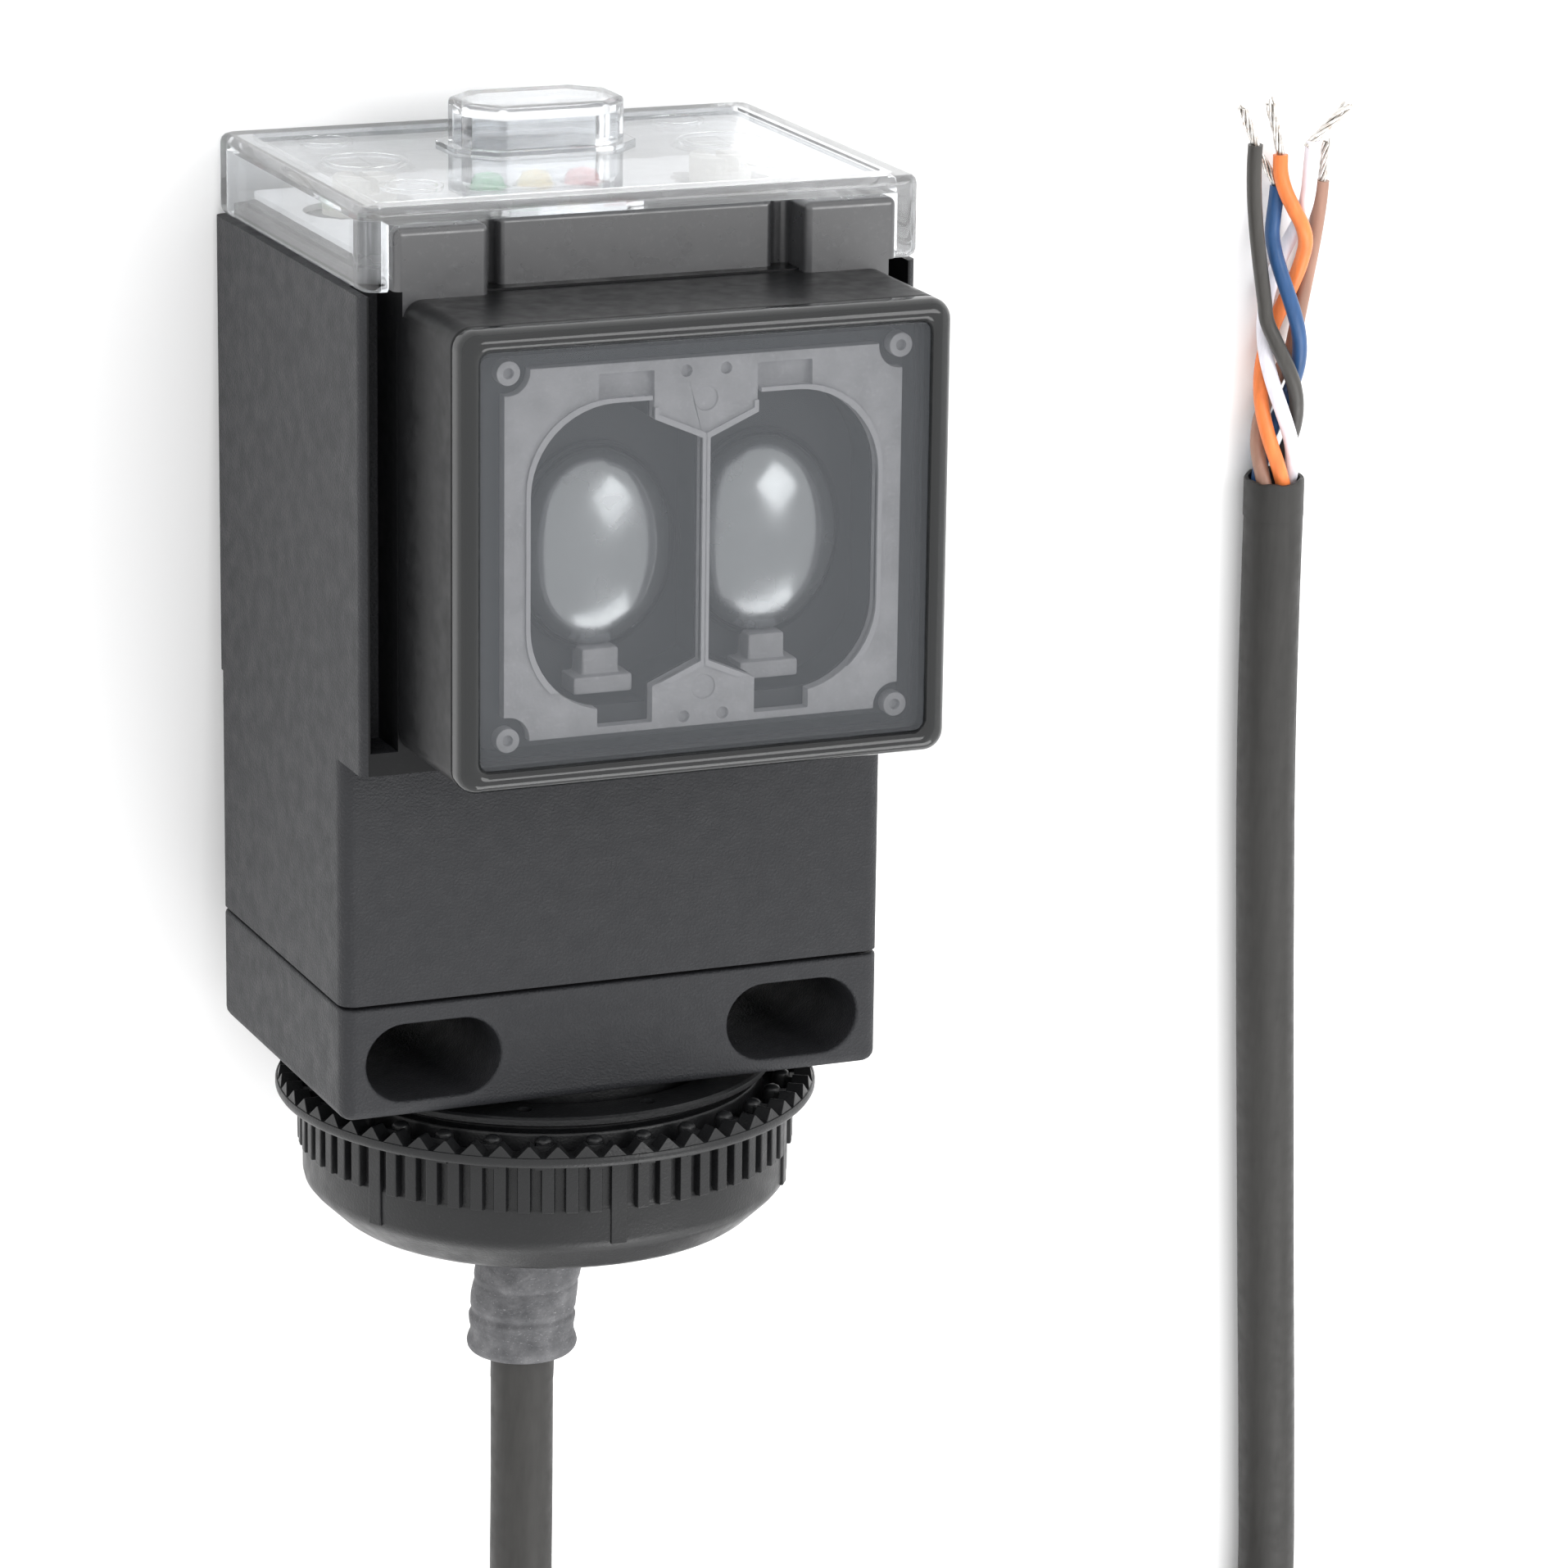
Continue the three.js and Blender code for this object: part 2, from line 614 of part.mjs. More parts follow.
function coilTie() {
  const inside = coilInside - gap;
  const outside = coilWide + gap;
  const top = coilHigh + gap;
  const strap = new THREE.ExtrudeGeometry(polygon([
    [inside - tieThickness, coilLow + gap], [inside, coilLow + gap], [inside, top], [outside, top],
    [outside, coilLow + gap], [outside + tieThickness, coilLow + gap],
    [outside + tieThickness, top + tieThickness], [inside - tieThickness, top + tieThickness],
  ]), { depth: tieWidth, bevelEnabled: false });
  strap.translate(0, 0, -tieWidth / 2);
  strap.rotateX(Math.PI / 2);
  strap.rotateZ(tieAngle);
  strap.translate(coilCentre[0], coilCentre[1], 0);
  return solid(strap);
}

const leadRoute = [
  [-2, -53, 24.6], [-2, -63, 25.6], [-2, -73.5, 26.6], [-1.3, -85, 27], [1.6, -98, 26],
  [6, -111, 23.8], [11.4, -124, 21.4], [16.6, -135, 19.8], [20.6, -143.2, 19.2],
];
const tailRoute = [
  [81.9, -115, 2.7], [81.4, -95.6, 2.7], [80.7, -86.8, 2.7], [78.3, -60.4, 2.7], [75.1, -24, 2.7],
  [74.2, -12.3, 2.7], [73.3, 3, 2.7], [72.8, 12, 2.7],
];

addPiece('cable_lead', tubeAlong(leadRoute, cableDiameter, 9, 10), cableSheath(), part);
addPiece('cable_coil', coilRing(), cableSheath(), part);
addPiece('coil_tie', coilTie(), blackPlastic(), part);
addPiece('cable_tail', tubeAlong(tailRoute, cableDiameter, 12, 10), cableSheath(), part);

// ---- the five conductors: twisted together out of the sheath, then fanned out to bare strands ----
const twistPitch = 26;
const twistRadius = 1.6;
const sheathEnd = [72.8, 12.3, 2.7];
const bundleLean = -0.03;
const wires = [
  { name: 'brown', color: 0xa58276, start: -72, held: 10.9, ease: 8, tip: [75.9, 37.9, 1.1], end: [76.1, 41.6, 1.1] },
  { name: 'orange', color: 0xf09048, start: 0, held: 28.5, ease: 7.7, tip: [71.1, 40.8, 2.3], end: [69.5, 46, 2.4] },
  { name: 'white', color: 0xe8e4ea, start: 72, held: 26.7, ease: 7, tip: [73.5, 42.2, 3.4], end: [76.8, 45.2, 3.2] },
  { name: 'black', color: 0x3b3a38, start: 144, held: 14.3, ease: 7, tip: [67.8, 42.3, 3.9], end: [66.3, 45.8, 3.6] },
  { name: 'blue', color: 0x3c64a0, start: 216, held: 22.1, ease: 2.9, tip: [71.3, 37.9, 1.8], end: [69.5, 40.7, 1.3] },
];

// The wire's middle at a distance along the bundle: on the twist at first, easing out to its own tip.
function wirePoint(wire, along) {
  const length = wire.tip[1] - sheathEnd[1];
  const angle = THREE.MathUtils.degToRad(wire.start) - Math.min(along, wire.held) * Math.PI * 2 / twistPitch;
  const out = THREE.MathUtils.smoothstep(along, wire.held - wire.ease, length);
  const x = sheathEnd[0] + bundleLean * along + twistRadius * Math.sin(angle);
  const z = sheathEnd[2] + twistRadius * Math.cos(angle);
  return [
    THREE.MathUtils.lerp(x, wire.tip[0], out), sheathEnd[1] + along, THREE.MathUtils.lerp(z, wire.tip[2], out),
  ];
}

function wireRoute(wire) {
  const count = 15;
  const length = wire.tip[1] - sheathEnd[1];
  return Array.from({ length: count }, (_, i) => wirePoint(wire, length * i / (count - 1)));
}

function strandRoute(wire) {
  const from = new THREE.Vector3(...wire.tip);
  const to = new THREE.Vector3(...wire.end);
  const step = to.clone().sub(from).setLength(gap + 0.15);
  return [from.add(step).toArray(), to.toArray()];
}

for (const wire of wires) {
  addPiece(`conductor_${wire.name}`, tubeAlong(wireRoute(wire), wireDiameter, 14, 8), rubber(wire.color), part);
  addPiece(`strands_${wire.name}`, tubeAlong(strandRoute(wire), strandDiameter, 1, 8), metal(), part);
}

export default part;
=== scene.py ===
import math
import random

import bmesh
import bpy
from mathutils import Matrix, Vector


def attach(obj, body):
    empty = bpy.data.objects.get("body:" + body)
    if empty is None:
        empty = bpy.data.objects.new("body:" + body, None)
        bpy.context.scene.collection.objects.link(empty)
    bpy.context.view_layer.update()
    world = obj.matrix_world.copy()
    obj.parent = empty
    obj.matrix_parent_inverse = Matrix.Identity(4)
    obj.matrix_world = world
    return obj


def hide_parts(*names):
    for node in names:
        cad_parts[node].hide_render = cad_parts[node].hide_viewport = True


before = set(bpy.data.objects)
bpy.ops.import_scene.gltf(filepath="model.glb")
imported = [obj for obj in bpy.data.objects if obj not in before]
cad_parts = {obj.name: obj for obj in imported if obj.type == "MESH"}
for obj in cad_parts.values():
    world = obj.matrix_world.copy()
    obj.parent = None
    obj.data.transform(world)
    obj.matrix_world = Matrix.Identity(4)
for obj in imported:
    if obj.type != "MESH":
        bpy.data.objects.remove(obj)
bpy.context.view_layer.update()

# Units and axes. The sensor is drawn in millimetres on its own axes: x across its face, y along its
# body from the ring nut to the clear cover, z out of its back and through its lenses. SENSOR lays it on
# its back, tipped until the nut's rim and the housing's rear top edge touch the floor.
MM = 0.001
FLANGE_R = 22.1
FLANGE_TOP = -3.0
NOSE_Z = 15.0
HOUSING_TOP = 66.9
TILT = math.atan((FLANGE_R - NOSE_Z) / (HOUSING_TOP - FLANGE_TOP))
REST = Vector((0, -25.772, 6.760)) * MM
SENSOR = Matrix.Translation(REST) @ Matrix.Rotation(-TILT, 4, "X") @ Matrix.Scale(MM, 4)
WORLD = Matrix.Scale(MM, 4)

HALF_W = 22.85
BASE_H = 9.35
LOWER_Z = 30.7
UPPER_Z = 35.5
LEDGE_Y = 29.5
POD_HALF = 19.85
POD_BOTTOM = 31.3
POD_TOP = 66.75
POD_Z = 47.55
POD_CORNER = 1.6
SLOT_X = 15.25
SLOT_Y = 4.47
SLOT_R = 3.15
SLOT_HALF = 5.6
NECK_TOP = 72.2
COVER_BOTTOM = 67.2
COVER_TOP = 73.7
DOME_TOP = 77.2
RELIEF_END = -28.3
RELIEF_LIP = -27.0
RELIEF_ROOT = -10.5
RELIEF_SWAY = 2.0
CABLE_D = 5.2
WIRE_D = 1.3


# ---- Camera, floor and light ----
def add_camera():
    data = bpy.data.cameras.new("camera")
    data.lens = 150.47
    data.sensor_width = 36
    data.clip_start = 0.05
    data.clip_end = 20
    camera = bpy.data.objects.new("camera", data)
    camera.location = Vector((-179.95, 188.86, 480.74)) * MM
    camera.rotation_euler = [math.radians(a) for a in (-22.333, -22.358, 3.214)]
    bpy.context.scene.collection.objects.link(camera)
    bpy.context.scene.camera = camera


def add_area_light(name, place, target, width, height, power):
    data = bpy.data.lights.new(name, "AREA")
    data.shape = "RECTANGLE"
    data.size = width
    data.size_y = height
    data.energy = power
    lamp = bpy.data.objects.new(name, data)
    lamp.location = place
    lamp.rotation_euler = (Vector(target) - Vector(place)).to_track_quat("-Z", "Y").to_euler()
    bpy.context.scene.collection.objects.link(lamp)


def add_stage():
    world = bpy.data.worlds.new("studio")
    world.use_nodes = True
    world.node_tree.nodes["Background"].inputs["Color"].default_value = (1, 1, 1, 1)
    world.node_tree.nodes["Background"].inputs["Strength"].default_value = 1.5
    bpy.context.scene.world = world
    bpy.context.scene.view_settings.view_transform = "Standard"
    middle = (0.0, 0.0, 0.03)
    add_area_light("softbox_overhead", (0.42, 0.32, 0.82), middle, 0.4, 0.45, 2.8)
    add_area_light("softbox_low", (0.30, -0.68, 0.60), middle, 0.7, 0.4, 4.0)
    bm = bmesh.new()
    bmesh.ops.create_grid(bm, x_segments=1, y_segments=1, size=6)
    mesh = bpy.data.meshes.new("floor")
    bm.to_mesh(mesh)
    bm.free()
    floor = bpy.data.objects.new("floor", mesh)
    floor.location.z = -0.00005
    bpy.context.scene.collection.objects.link(floor)
    surface = bpy.data.materials.new("floor")
    surface.use_nodes = True
    shader = surface.node_tree.nodes["Principled BSDF"]
    shader.inputs["Base Color"].default_value = (0.93, 0.93, 0.93, 1)
    shader.inputs["Roughness"].default_value = 0.8
    mesh.materials.append(surface)


# ---- Materials: every one is procedural, and its texture space is in millimetres ----
class Shader:
    """A material built node by node around one Principled shader."""

    def __init__(self, name, **values):
        self.material = bpy.data.materials.new(name)
        self.material.use_nodes = True
        self.tree = self.material.node_tree
        self.principled = self.tree.nodes["Principled BSDF"]
        for socket, value in values.items():
            self.principled.inputs[socket.replace("_", " ")].default_value = value
        coordinates = self.tree.nodes.new("ShaderNodeTexCoord")
        mapping = self.tree.nodes.new("ShaderNodeMapping")
        mapping.inputs["Scale"].default_value = (1 / MM,) * 3
        self.join(coordinates.outputs["Object"], mapping.inputs["Vector"])
        self.place = mapping.outputs["Vector"]
        self.height = None

    def join(self, output, socket):
        self.tree.links.new(output, socket)

    def noise(self, size_mm, detail=2.0, roughness=0.5, stretch=None):
        texture = self.tree.nodes.new("ShaderNodeTexNoise")
        texture.inputs["Scale"].default_value = 1 / size_mm
        texture.inputs["Detail"].default_value = detail
        texture.inputs["Roughness"].default_value = roughness
        place = self.place
        if stretch:
            mapping = self.tree.nodes.new("ShaderNodeMapping")
            mapping.inputs["Scale"].default_value = stretch
            self.join(place, mapping.inputs["Vector"])
            place = mapping.outputs["Vector"]
        self.join(place, texture.inputs["Vector"])
        return texture.outputs["Fac"]

    def cells(self, size_mm):
        texture = self.tree.nodes.new("ShaderNodeTexVoronoi")
        texture.inputs["Scale"].default_value = 1 / size_mm
        self.join(self.place, texture.inputs["Vector"])
        return texture.outputs["Distance"]

    def ramp(self, factor, stops):
        node = self.tree.nodes.new("ShaderNodeValToRGB")
        elements = node.color_ramp.elements
        while len(elements) < len(stops):
            elements.new(0.5)
        for element, (position, color) in zip(elements, stops):
            element.position = position
            element.color = (*color, 1)
        self.join(factor, node.inputs["Fac"])
        return node.outputs["Color"]

    def spread(self, factor, low, high, from_low=0.3, from_high=0.7):
        node = self.tree.nodes.new("ShaderNodeMapRange")
        node.inputs["From Min"].default_value = from_low
        node.inputs["From Max"].default_value = from_high
        node.inputs["To Min"].default_value = low
        node.inputs["To Max"].default_value = high
        self.join(factor, node.inputs["Value"])
        return node.outputs["Result"]

    def mix(self, factor, first, second):
        node = self.tree.nodes.new("ShaderNodeMix")
        node.data_type = "RGBA"
        self.join(factor, node.inputs["Factor"])
        for socket, value in ((node.inputs[6], first), (node.inputs[7], second)):
            if isinstance(value, tuple):
                socket.default_value = (*value, 1)
            else:
                self.join(value, socket)
        return node.outputs[2]

    def bump(self, height, depth_mm):
        node = self.tree.nodes.new("ShaderNodeBump")
        node.inputs["Distance"].default_value = depth_mm * MM
        self.join(height, node.inputs["Height"])
        if self.height:
            self.join(self.height, node.inputs["Normal"])
        self.height = node.outputs["Normal"]
        self.join(self.height, self.principled.inputs["Normal"])

    def set(self, socket, output):
        self.join(output, self.principled.inputs[socket])


def tint(color, factor):
    return tuple(min(1.0, c * factor) for c in color)


def moulded(name, color, roughness, grain_mm, grain_depth, mottle, dust, specular=0.35):
    """Moulded plastic with a fine eroded texture, soft mottling and a few pale dust specks."""
    shader = Shader(name, Specular_IOR_Level=specular)
    soft = shader.ramp(shader.noise(6, 3), [(0.3, tint(color, 1 - mottle)), (0.7, tint(color, 1 + mottle))])
    grain = shader.noise(grain_mm, 2, 0.6)
    fine = shader.ramp(grain, [(0.35, (0, 0, 0)), (0.75, (1, 1, 1))])
    grainy = shader.mix(shader.spread(grain, 0, 1, 0.55, 0.8), soft, tint(color, 1.5))
    specks = shader.spread(shader.cells(2.3), 1, 0, 0.02, 0.045)
    patches = shader.spread(shader.noise(11, 2), 0, dust, 0.5, 0.7)
    fade = shader.tree.nodes.new("ShaderNodeMath")
    fade.operation = "MULTIPLY"
    shader.join(specks, fade.inputs[0])
    shader.join(patches, fade.inputs[1])
    shader.set("Base Color", shader.mix(fade.outputs[0], grainy, (0.42, 0.42, 0.42)))
    shader.set("Roughness", shader.spread(shader.noise(1.6, 2), roughness - 0.05, roughness + 0.07))
    shader.bump(fine, grain_depth)
    return shader.material


def polished(name, color, roughness, **values):
    """A smooth clear or glossy plastic, with the faintest flow waviness and hairline marks."""
    shader = Shader(name, **values)
    shader.set("Base Color", shader.ramp(shader.noise(9, 2), [(0.3, tint(color, 0.97)), (0.7, color)]))
    shader.set("Roughness", shader.spread(shader.noise(3, 3), roughness * 0.7, roughness * 1.5))
    shader.bump(shader.noise(2.5, 1), 0.004)
    return shader.material


def sheathed(name, color, roughness, scuff=0.12):
    """Extruded cable plastic: faint lengthwise streaks, a soft sheen and small scuffs."""
    shader = Shader(name, Specular_IOR_Level=0.3)
    streaks = shader.noise(0.8, 3, 0.6, (1, 0.15, 1))
    body = shader.ramp(streaks, [(0.3, tint(color, 0.85)), (0.7, tint(color, 1.12))])
    marks = shader.spread(shader.noise(0.5, 4, 0.7), 0, scuff, 0.62, 0.75)
    shader.set("Base Color", shader.mix(marks, body, tint(color, 2.2)))
    shader.set("Roughness", shader.spread(shader.noise(1.3, 2), roughness - 0.06, roughness + 0.1))
    shader.bump(streaks, 0.012)
    return shader.material


def worn_rubber():
    """The grey bend relief: chalky, wrinkled and scuffed pale on its raised rings."""
    shader = Shader("worn_rubber", Specular_IOR_Level=0.35)
    base = shader.ramp(shader.noise(1.8, 4, 0.65), [
        (0.25, (0.05, 0.051, 0.055)), (0.5, (0.095, 0.095, 0.1)), (0.8, (0.18, 0.18, 0.186))])
    scratches = shader.spread(shader.noise(0.35, 5, 0.75, (1, 2.4, 1)), 0, 0.75, 0.6, 0.72)
    shader.set("Base Color", shader.mix(scratches, base, (0.4, 0.4, 0.41)))
    shader.set("Roughness", shader.spread(shader.noise(0.9, 3), 0.55, 0.8))
    shader.bump(shader.noise(1.1, 3), 0.16)
    shader.bump(shader.noise(0.22, 3), 0.04)
    return shader.material


def tinned():
    shader = Shader("tinned_copper", Metallic=1.0)
    shader.set("Base Color", shader.ramp(shader.noise(0.5, 3), [
        (0.3, (0.42, 0.36, 0.31)), (0.5, (0.62, 0.6, 0.57)), (0.7, (0.82, 0.8, 0.77))]))
    shader.set("Roughness", shader.spread(shader.noise(0.3, 2), 0.25, 0.45))
    shader.bump(shader.noise(0.12, 2), 0.01)
    return shader.material


def frosted(name, color):
    """The lightly frosted grey optics moulding, with a sprinkle of pale grain."""
    shader = Shader(name, Specular_IOR_Level=0.4)
    body = shader.ramp(shader.noise(2.5, 4), [(0.3, tint(color, 0.86)), (0.7, tint(color, 1.1))])
    grains = shader.spread(shader.noise(0.28, 3, 0.7), 0, 0.4, 0.55, 0.75)
    shader.set("Base Color", shader.mix(grains, body, tint(color, 1.7)))
    shader.set("Roughness", shader.spread(shader.noise(0.8, 2), 0.45, 0.65))
    shader.bump(shader.noise(0.25, 3), 0.03)
    return shader.material


def lamp(name, color):
    shader = Shader(name, Roughness=0.2, Coat_Weight=0.5)
    shader.set("Base Color", shader.ramp(shader.noise(1.2, 2), [(0.3, tint(color, 0.85)), (0.7, color)]))
    shader.bump(shader.noise(0.8, 1), 0.01)
    return shader.material


def make_materials():
    clear = dict(Transmission_Weight=1.0, IOR=1.46, Specular_IOR_Level=0.6, Alpha=0.9)
    milky = dict(Metallic=0.85, Specular_IOR_Level=0.9, Coat_Weight=0.3)
    return {
        "housing": moulded("housing_black", (0.0175, 0.0181, 0.0204), 0.5, 0.2, 0.045, 0.02, 0.04, 0.25),
        # The pod's copy of the black plastic is made about three times darker than the housing: painted shade
        # on the pod and in the slots beside it.
        "pod_painted_shade": moulded("pod_black_painted_shade", (0.0055, 0.0057, 0.0063), 0.36, 0.5, 0.0006, 0.03, 0.0, 0.18),
        # The neck's copy of the black plastic is made about twice as light as the housing: a painted sheen on
        # the neck and its pads.
        "neck": moulded("neck_painted_sheen", (0.036, 0.0365, 0.039), 0.3, 0.5, 0.0006, 0.03, 0.0, 1.0),
        "nut": moulded("nut_black", (0.007, 0.0073, 0.008), 0.38, 0.22, 0.012, 0.1, 0.12, 0.35),
        "seal": moulded("seal_black", (0.012, 0.012, 0.012), 0.7, 0.3, 0.01, 0.1, 0.1),
        "inside": moulded("optics_black", (0.017, 0.019, 0.021), 0.4, 0.3, 0.006, 0.08, 0.0),
        "package": moulded("package_black", (0.015, 0.015, 0.016), 0.45, 0.2, 0.01, 0.1, 0.05),
        "board": moulded("board_green", (0.012, 0.07, 0.03), 0.35, 0.5, 0.01, 0.15, 0.1),
        "nylon": moulded("nylon_natural", (0.6, 0.58, 0.52), 0.45, 0.4, 0.01, 0.05, 0.0),
        "panel": moulded("panel_light", (0.8, 0.8, 0.81), 0.5, 0.5, 0.004, 0.03, 0.0),
        "carrier": frosted("carrier_grey", (0.44, 0.44, 0.455)),
        "ridge": polished("ridge_pale", (0.5, 0.5, 0.52), 0.3),
        "cover": polished("cover_clear", (0.96, 0.98, 1.0), 0.02, **clear),
        "window": polished("window_smoked", (0.1, 0.107, 0.117), 0.09, Alpha=0.3, Specular_IOR_Level=0.5),
        "rim": polished("rim_smoked", (0.012, 0.013, 0.0135), 0.08, Alpha=0.88, Specular_IOR_Level=0.45),
        "lens": polished("lens_milky", (0.5, 0.52, 0.535), 0.2, **milky),
        "cable": sheathed("cable_sheath", (0.028, 0.027, 0.0255), 0.5, 0.04),
        "relief": worn_rubber(),
        "tin": tinned(),
        "brown": sheathed("wire_brown", (0.33, 0.19, 0.14), 0.35),
        "orange": sheathed("wire_orange", (0.78, 0.21, 0.06), 0.35),
        "white": sheathed("wire_white", (0.8, 0.78, 0.84), 0.35, 0.02),
        "black": sheathed("wire_black", (0.055, 0.052, 0.048), 0.35),
        "blue": sheathed("wire_blue", (0.027, 0.08, 0.2), 0.35),
        "indicator_green": lamp("lamp_green", (0.12, 0.62, 0.22)),
        "indicator_yellow": lamp("lamp_yellow", (0.85, 0.62, 0.1)),
        "indicator_red": lamp("lamp_red", (0.85, 0.16, 0.16)),
    }


# ---- Mesh helpers ----
def new_object(name, bm, transform=SENSOR):
    bmesh.ops.recalc_face_normals(bm, faces=bm.faces)
    mesh = bpy.data.meshes.new(name)
    bm.to_mesh(mesh)
    bm.free()
    mesh.transform(transform)
    piece = bpy.data.objects.new(name, mesh)
    bpy.context.scene.collection.objects.link(piece)
    return piece


def rounded(x0, y0, x1, y1, r, steps=6):
    """A rectangle's outline with round corners, anticlockwise."""
    corners = [(x1 - r, y1 - r, 0), (x0 + r, y1 - r, 90), (x0 + r, y0 + r, 180), (x1 - r, y0 + r, 270)]
    points = []
    for cx, cy, start in corners:
        for i in range(steps + 1):
            angle = math.radians(start + 90 * i / steps)
            points.append((cx + r * math.cos(angle), cy + r * math.sin(angle)))
    return points


def bridge(bm, rings, closed=False):
    """Faces from each ring of vertices to the next, and from the last to the first where closed."""
    following = rings[1:] + rings[:1] if closed else rings[1:]
    for first, second in zip(rings, following):
        for i in range(len(first)):
            j = (i + 1) % len(first)
            bm.faces.new((first[i], first[j], second[j], second[i]))


def extrude(bm, outline, low, high, axis):
    """Adds a prism: along z the outline is drawn in x and y, along y it is drawn in x and z."""
    def place(point, level):
        return (point[0], point[1], level) if axis == "z" else (point[0], level, point[1])
    bottom = [bm.verts.new(place(p, low)) for p in outline]
    top = [bm.verts.new(place(p, high)) for p in outline]
    bm.faces.new(bottom)
    bm.faces.new(top)
    bridge(bm, [bottom, top])


def prism(name, outline, low, high, axis):
    bm = bmesh.new()
    extrude(bm, outline, low, high, axis)
    return new_object(name, bm, Matrix.Identity(4))


def box(name, x0, x1, y0, y1, z0, z1):
    return prism(name, [(x0, y0), (x1, y0), (x1, y1), (x0, y1)], z0, z1, "z")


def circle(x, y, r, steps=48, squash_y=1.0):
    return [(x + r * math.cos(math.tau * i / steps), y + squash_y * r * math.sin(math.tau * i / steps))
            for i in range(steps)]


def lathe(bm, profile, segments, x=0.0, z=NOSE_Z):
    """Turns a profile of (radius, y) points about a line along y through x and z."""
    rings = []
    for radius, y in profile:
        if radius < 1e-6:
            rings.append([bm.verts.new((x, y, z))])
            continue
        rings.append([bm.verts.new((x + radius * math.sin(math.tau * i / segments), y,
                                    z + radius * math.cos(math.tau * i / segments)))
                      for i in range(segments)])
    for first, second in zip(rings, rings[1:]):
        for i in range(segments):
            j = (i + 1) % segments
            corners = [first[i % len(first)], first[j % len(first)],
                       second[j % len(second)], second[i % len(second)]]
            unique = list(dict.fromkeys(corners))
            if len(unique) > 2:
                bm.faces.new(unique)


def turned(name, profile, segments, transform=SENSOR):
    """A closed turned solid. The profile closes on the axis or on its own first point."""
    bm = bmesh.new()
    closed = profile[0][0] > 1e-6
    lathe(bm, profile + profile[:1] if closed else profile, segments)
    bmesh.ops.remove_doubles(bm, verts=bm.verts, dist=1e-5)
    return new_object(name, bm, transform)


def settle(piece):
    """Applies the piece's modifiers to its mesh."""
    graph = bpy.context.evaluated_depsgraph_get()
    mesh = bpy.data.meshes.new_from_object(piece.evaluated_get(graph))
    piece.modifiers.clear()
    old = piece.data
    piece.data = mesh
    bpy.data.meshes.remove(old)
    mesh.name = piece.name


def combine(piece, other, operation):
    """Joins, cuts or meets two solids and drops the second one."""
    modifier = piece.modifiers.new("boolean", "BOOLEAN")
    modifier.operation = operation
    modifier.solver = "EXACT"
    modifier.object = other
    settle(piece)
    bpy.data.objects.remove(other)


def join(piece, *others):
    for other in others:
        combine(piece, other, "UNION")


def cut(piece, *others):
    for other in others:
        combine(piece, other, "DIFFERENCE")


def soften(piece, width, segments=3, angle=35):
    """Rounds the sharp edges and gives the flats true normals."""
    bm = bmesh.new()
    bm.from_mesh(piece.data)
    bmesh.ops.remove_doubles(bm, verts=bm.verts, dist=1e-4)
    bmesh.ops.dissolve_limit(bm, angle_limit=math.radians(0.5), verts=bm.verts, edges=bm.edges)
    bm.to_mesh(piece.data)
    bm.free()
    bevel = piece.modifiers.new("bevel", "BEVEL")
    bevel.width = width
    bevel.segments = segments
    bevel.limit_method = "ANGLE"
    bevel.angle_limit = math.radians(angle)
    bevel.use_clamp_overlap = True
    bevel.miter_outer = "MITER_ARC"
    settle(piece)


def smooth(piece, angle=40, weighted=True):
    mesh = piece.data
    mesh.polygons.foreach_set("use_smooth", [True] * len(mesh.polygons))
    mesh.set_sharp_from_angle(angle=math.radians(angle))
    if weighted:
        modifier = piece.modifiers.new("normals", "WEIGHTED_NORMAL")
        modifier.keep_sharp = True
        modifier.weight = 80
        settle(piece)


def finish_piece(piece, body, material, transform=None, nodes=()):
    """Lays the piece in place, paints it, and says what it rides on and what it replaces."""
    if transform:
        piece.data.transform(transform)
    piece.data.materials.append(material)
    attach(piece, body)
    if nodes:
        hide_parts(*nodes)
    return piece


# ---- The cable: out of the relief, down to a coil beside the view, and back to its bare end ----
LEAD_ROUTE = [
    (-2, -53, 24.6), (-2, -63, 25.6), (-2, -73.5, 26.6), (-1.3, -85, 27), (1.6, -98, 26),
    (6, -111, 23.8), (11.4, -124, 21.4), (16.6, -135, 19.8), (20.6, -143.2, 19.2),
]
TAIL_ROUTE = [
    (81.9, -115, 2.7), (81.4, -95.6, 2.7), (80.7, -86.8, 2.7), (78.3, -60.4, 2.7), (75.1, -24, 2.7),
    (74.2, -12.3, 2.7), (73.3, 3, 2.7), (72.8, 12, 2.7),
]
TAIL_STOP = (73.0, 9.4, 2.7)
COIL_CENTRE = (42.9, -136.0)
COIL_INNER = 23.2
COIL_PITCH = 5.3
CABLE_FLOOR = 2.7
COIL_STATIONS = [(0, 2), (1, 2), (2, 2), (2, 1), (1, 1), (0, 1), (0, 0), (1, 0), (2, 0), (3, 0)]
COIL_STEPS_FROM = [240, 240, 180, 120, 120, 60, 0, 0, 0]
STEP_SPAN = 60.0
ENTRY_ANGLE = 206
TURN_STEP = 15


def ease(value, low, high):
    share = min(1.0, max(0.0, (value - low) / (high - low)))
    return share * share * (3 - 2 * share)


def coil_point(ring, layer, angle, lift=0.0):
    radius = COIL_INNER + ring * COIL_PITCH
    turn = math.radians(angle)
    return (COIL_CENTRE[0] + radius * math.cos(turn), COIL_CENTRE[1] + radius * math.sin(turn),
            CABLE_FLOOR + layer * COIL_PITCH + lift)


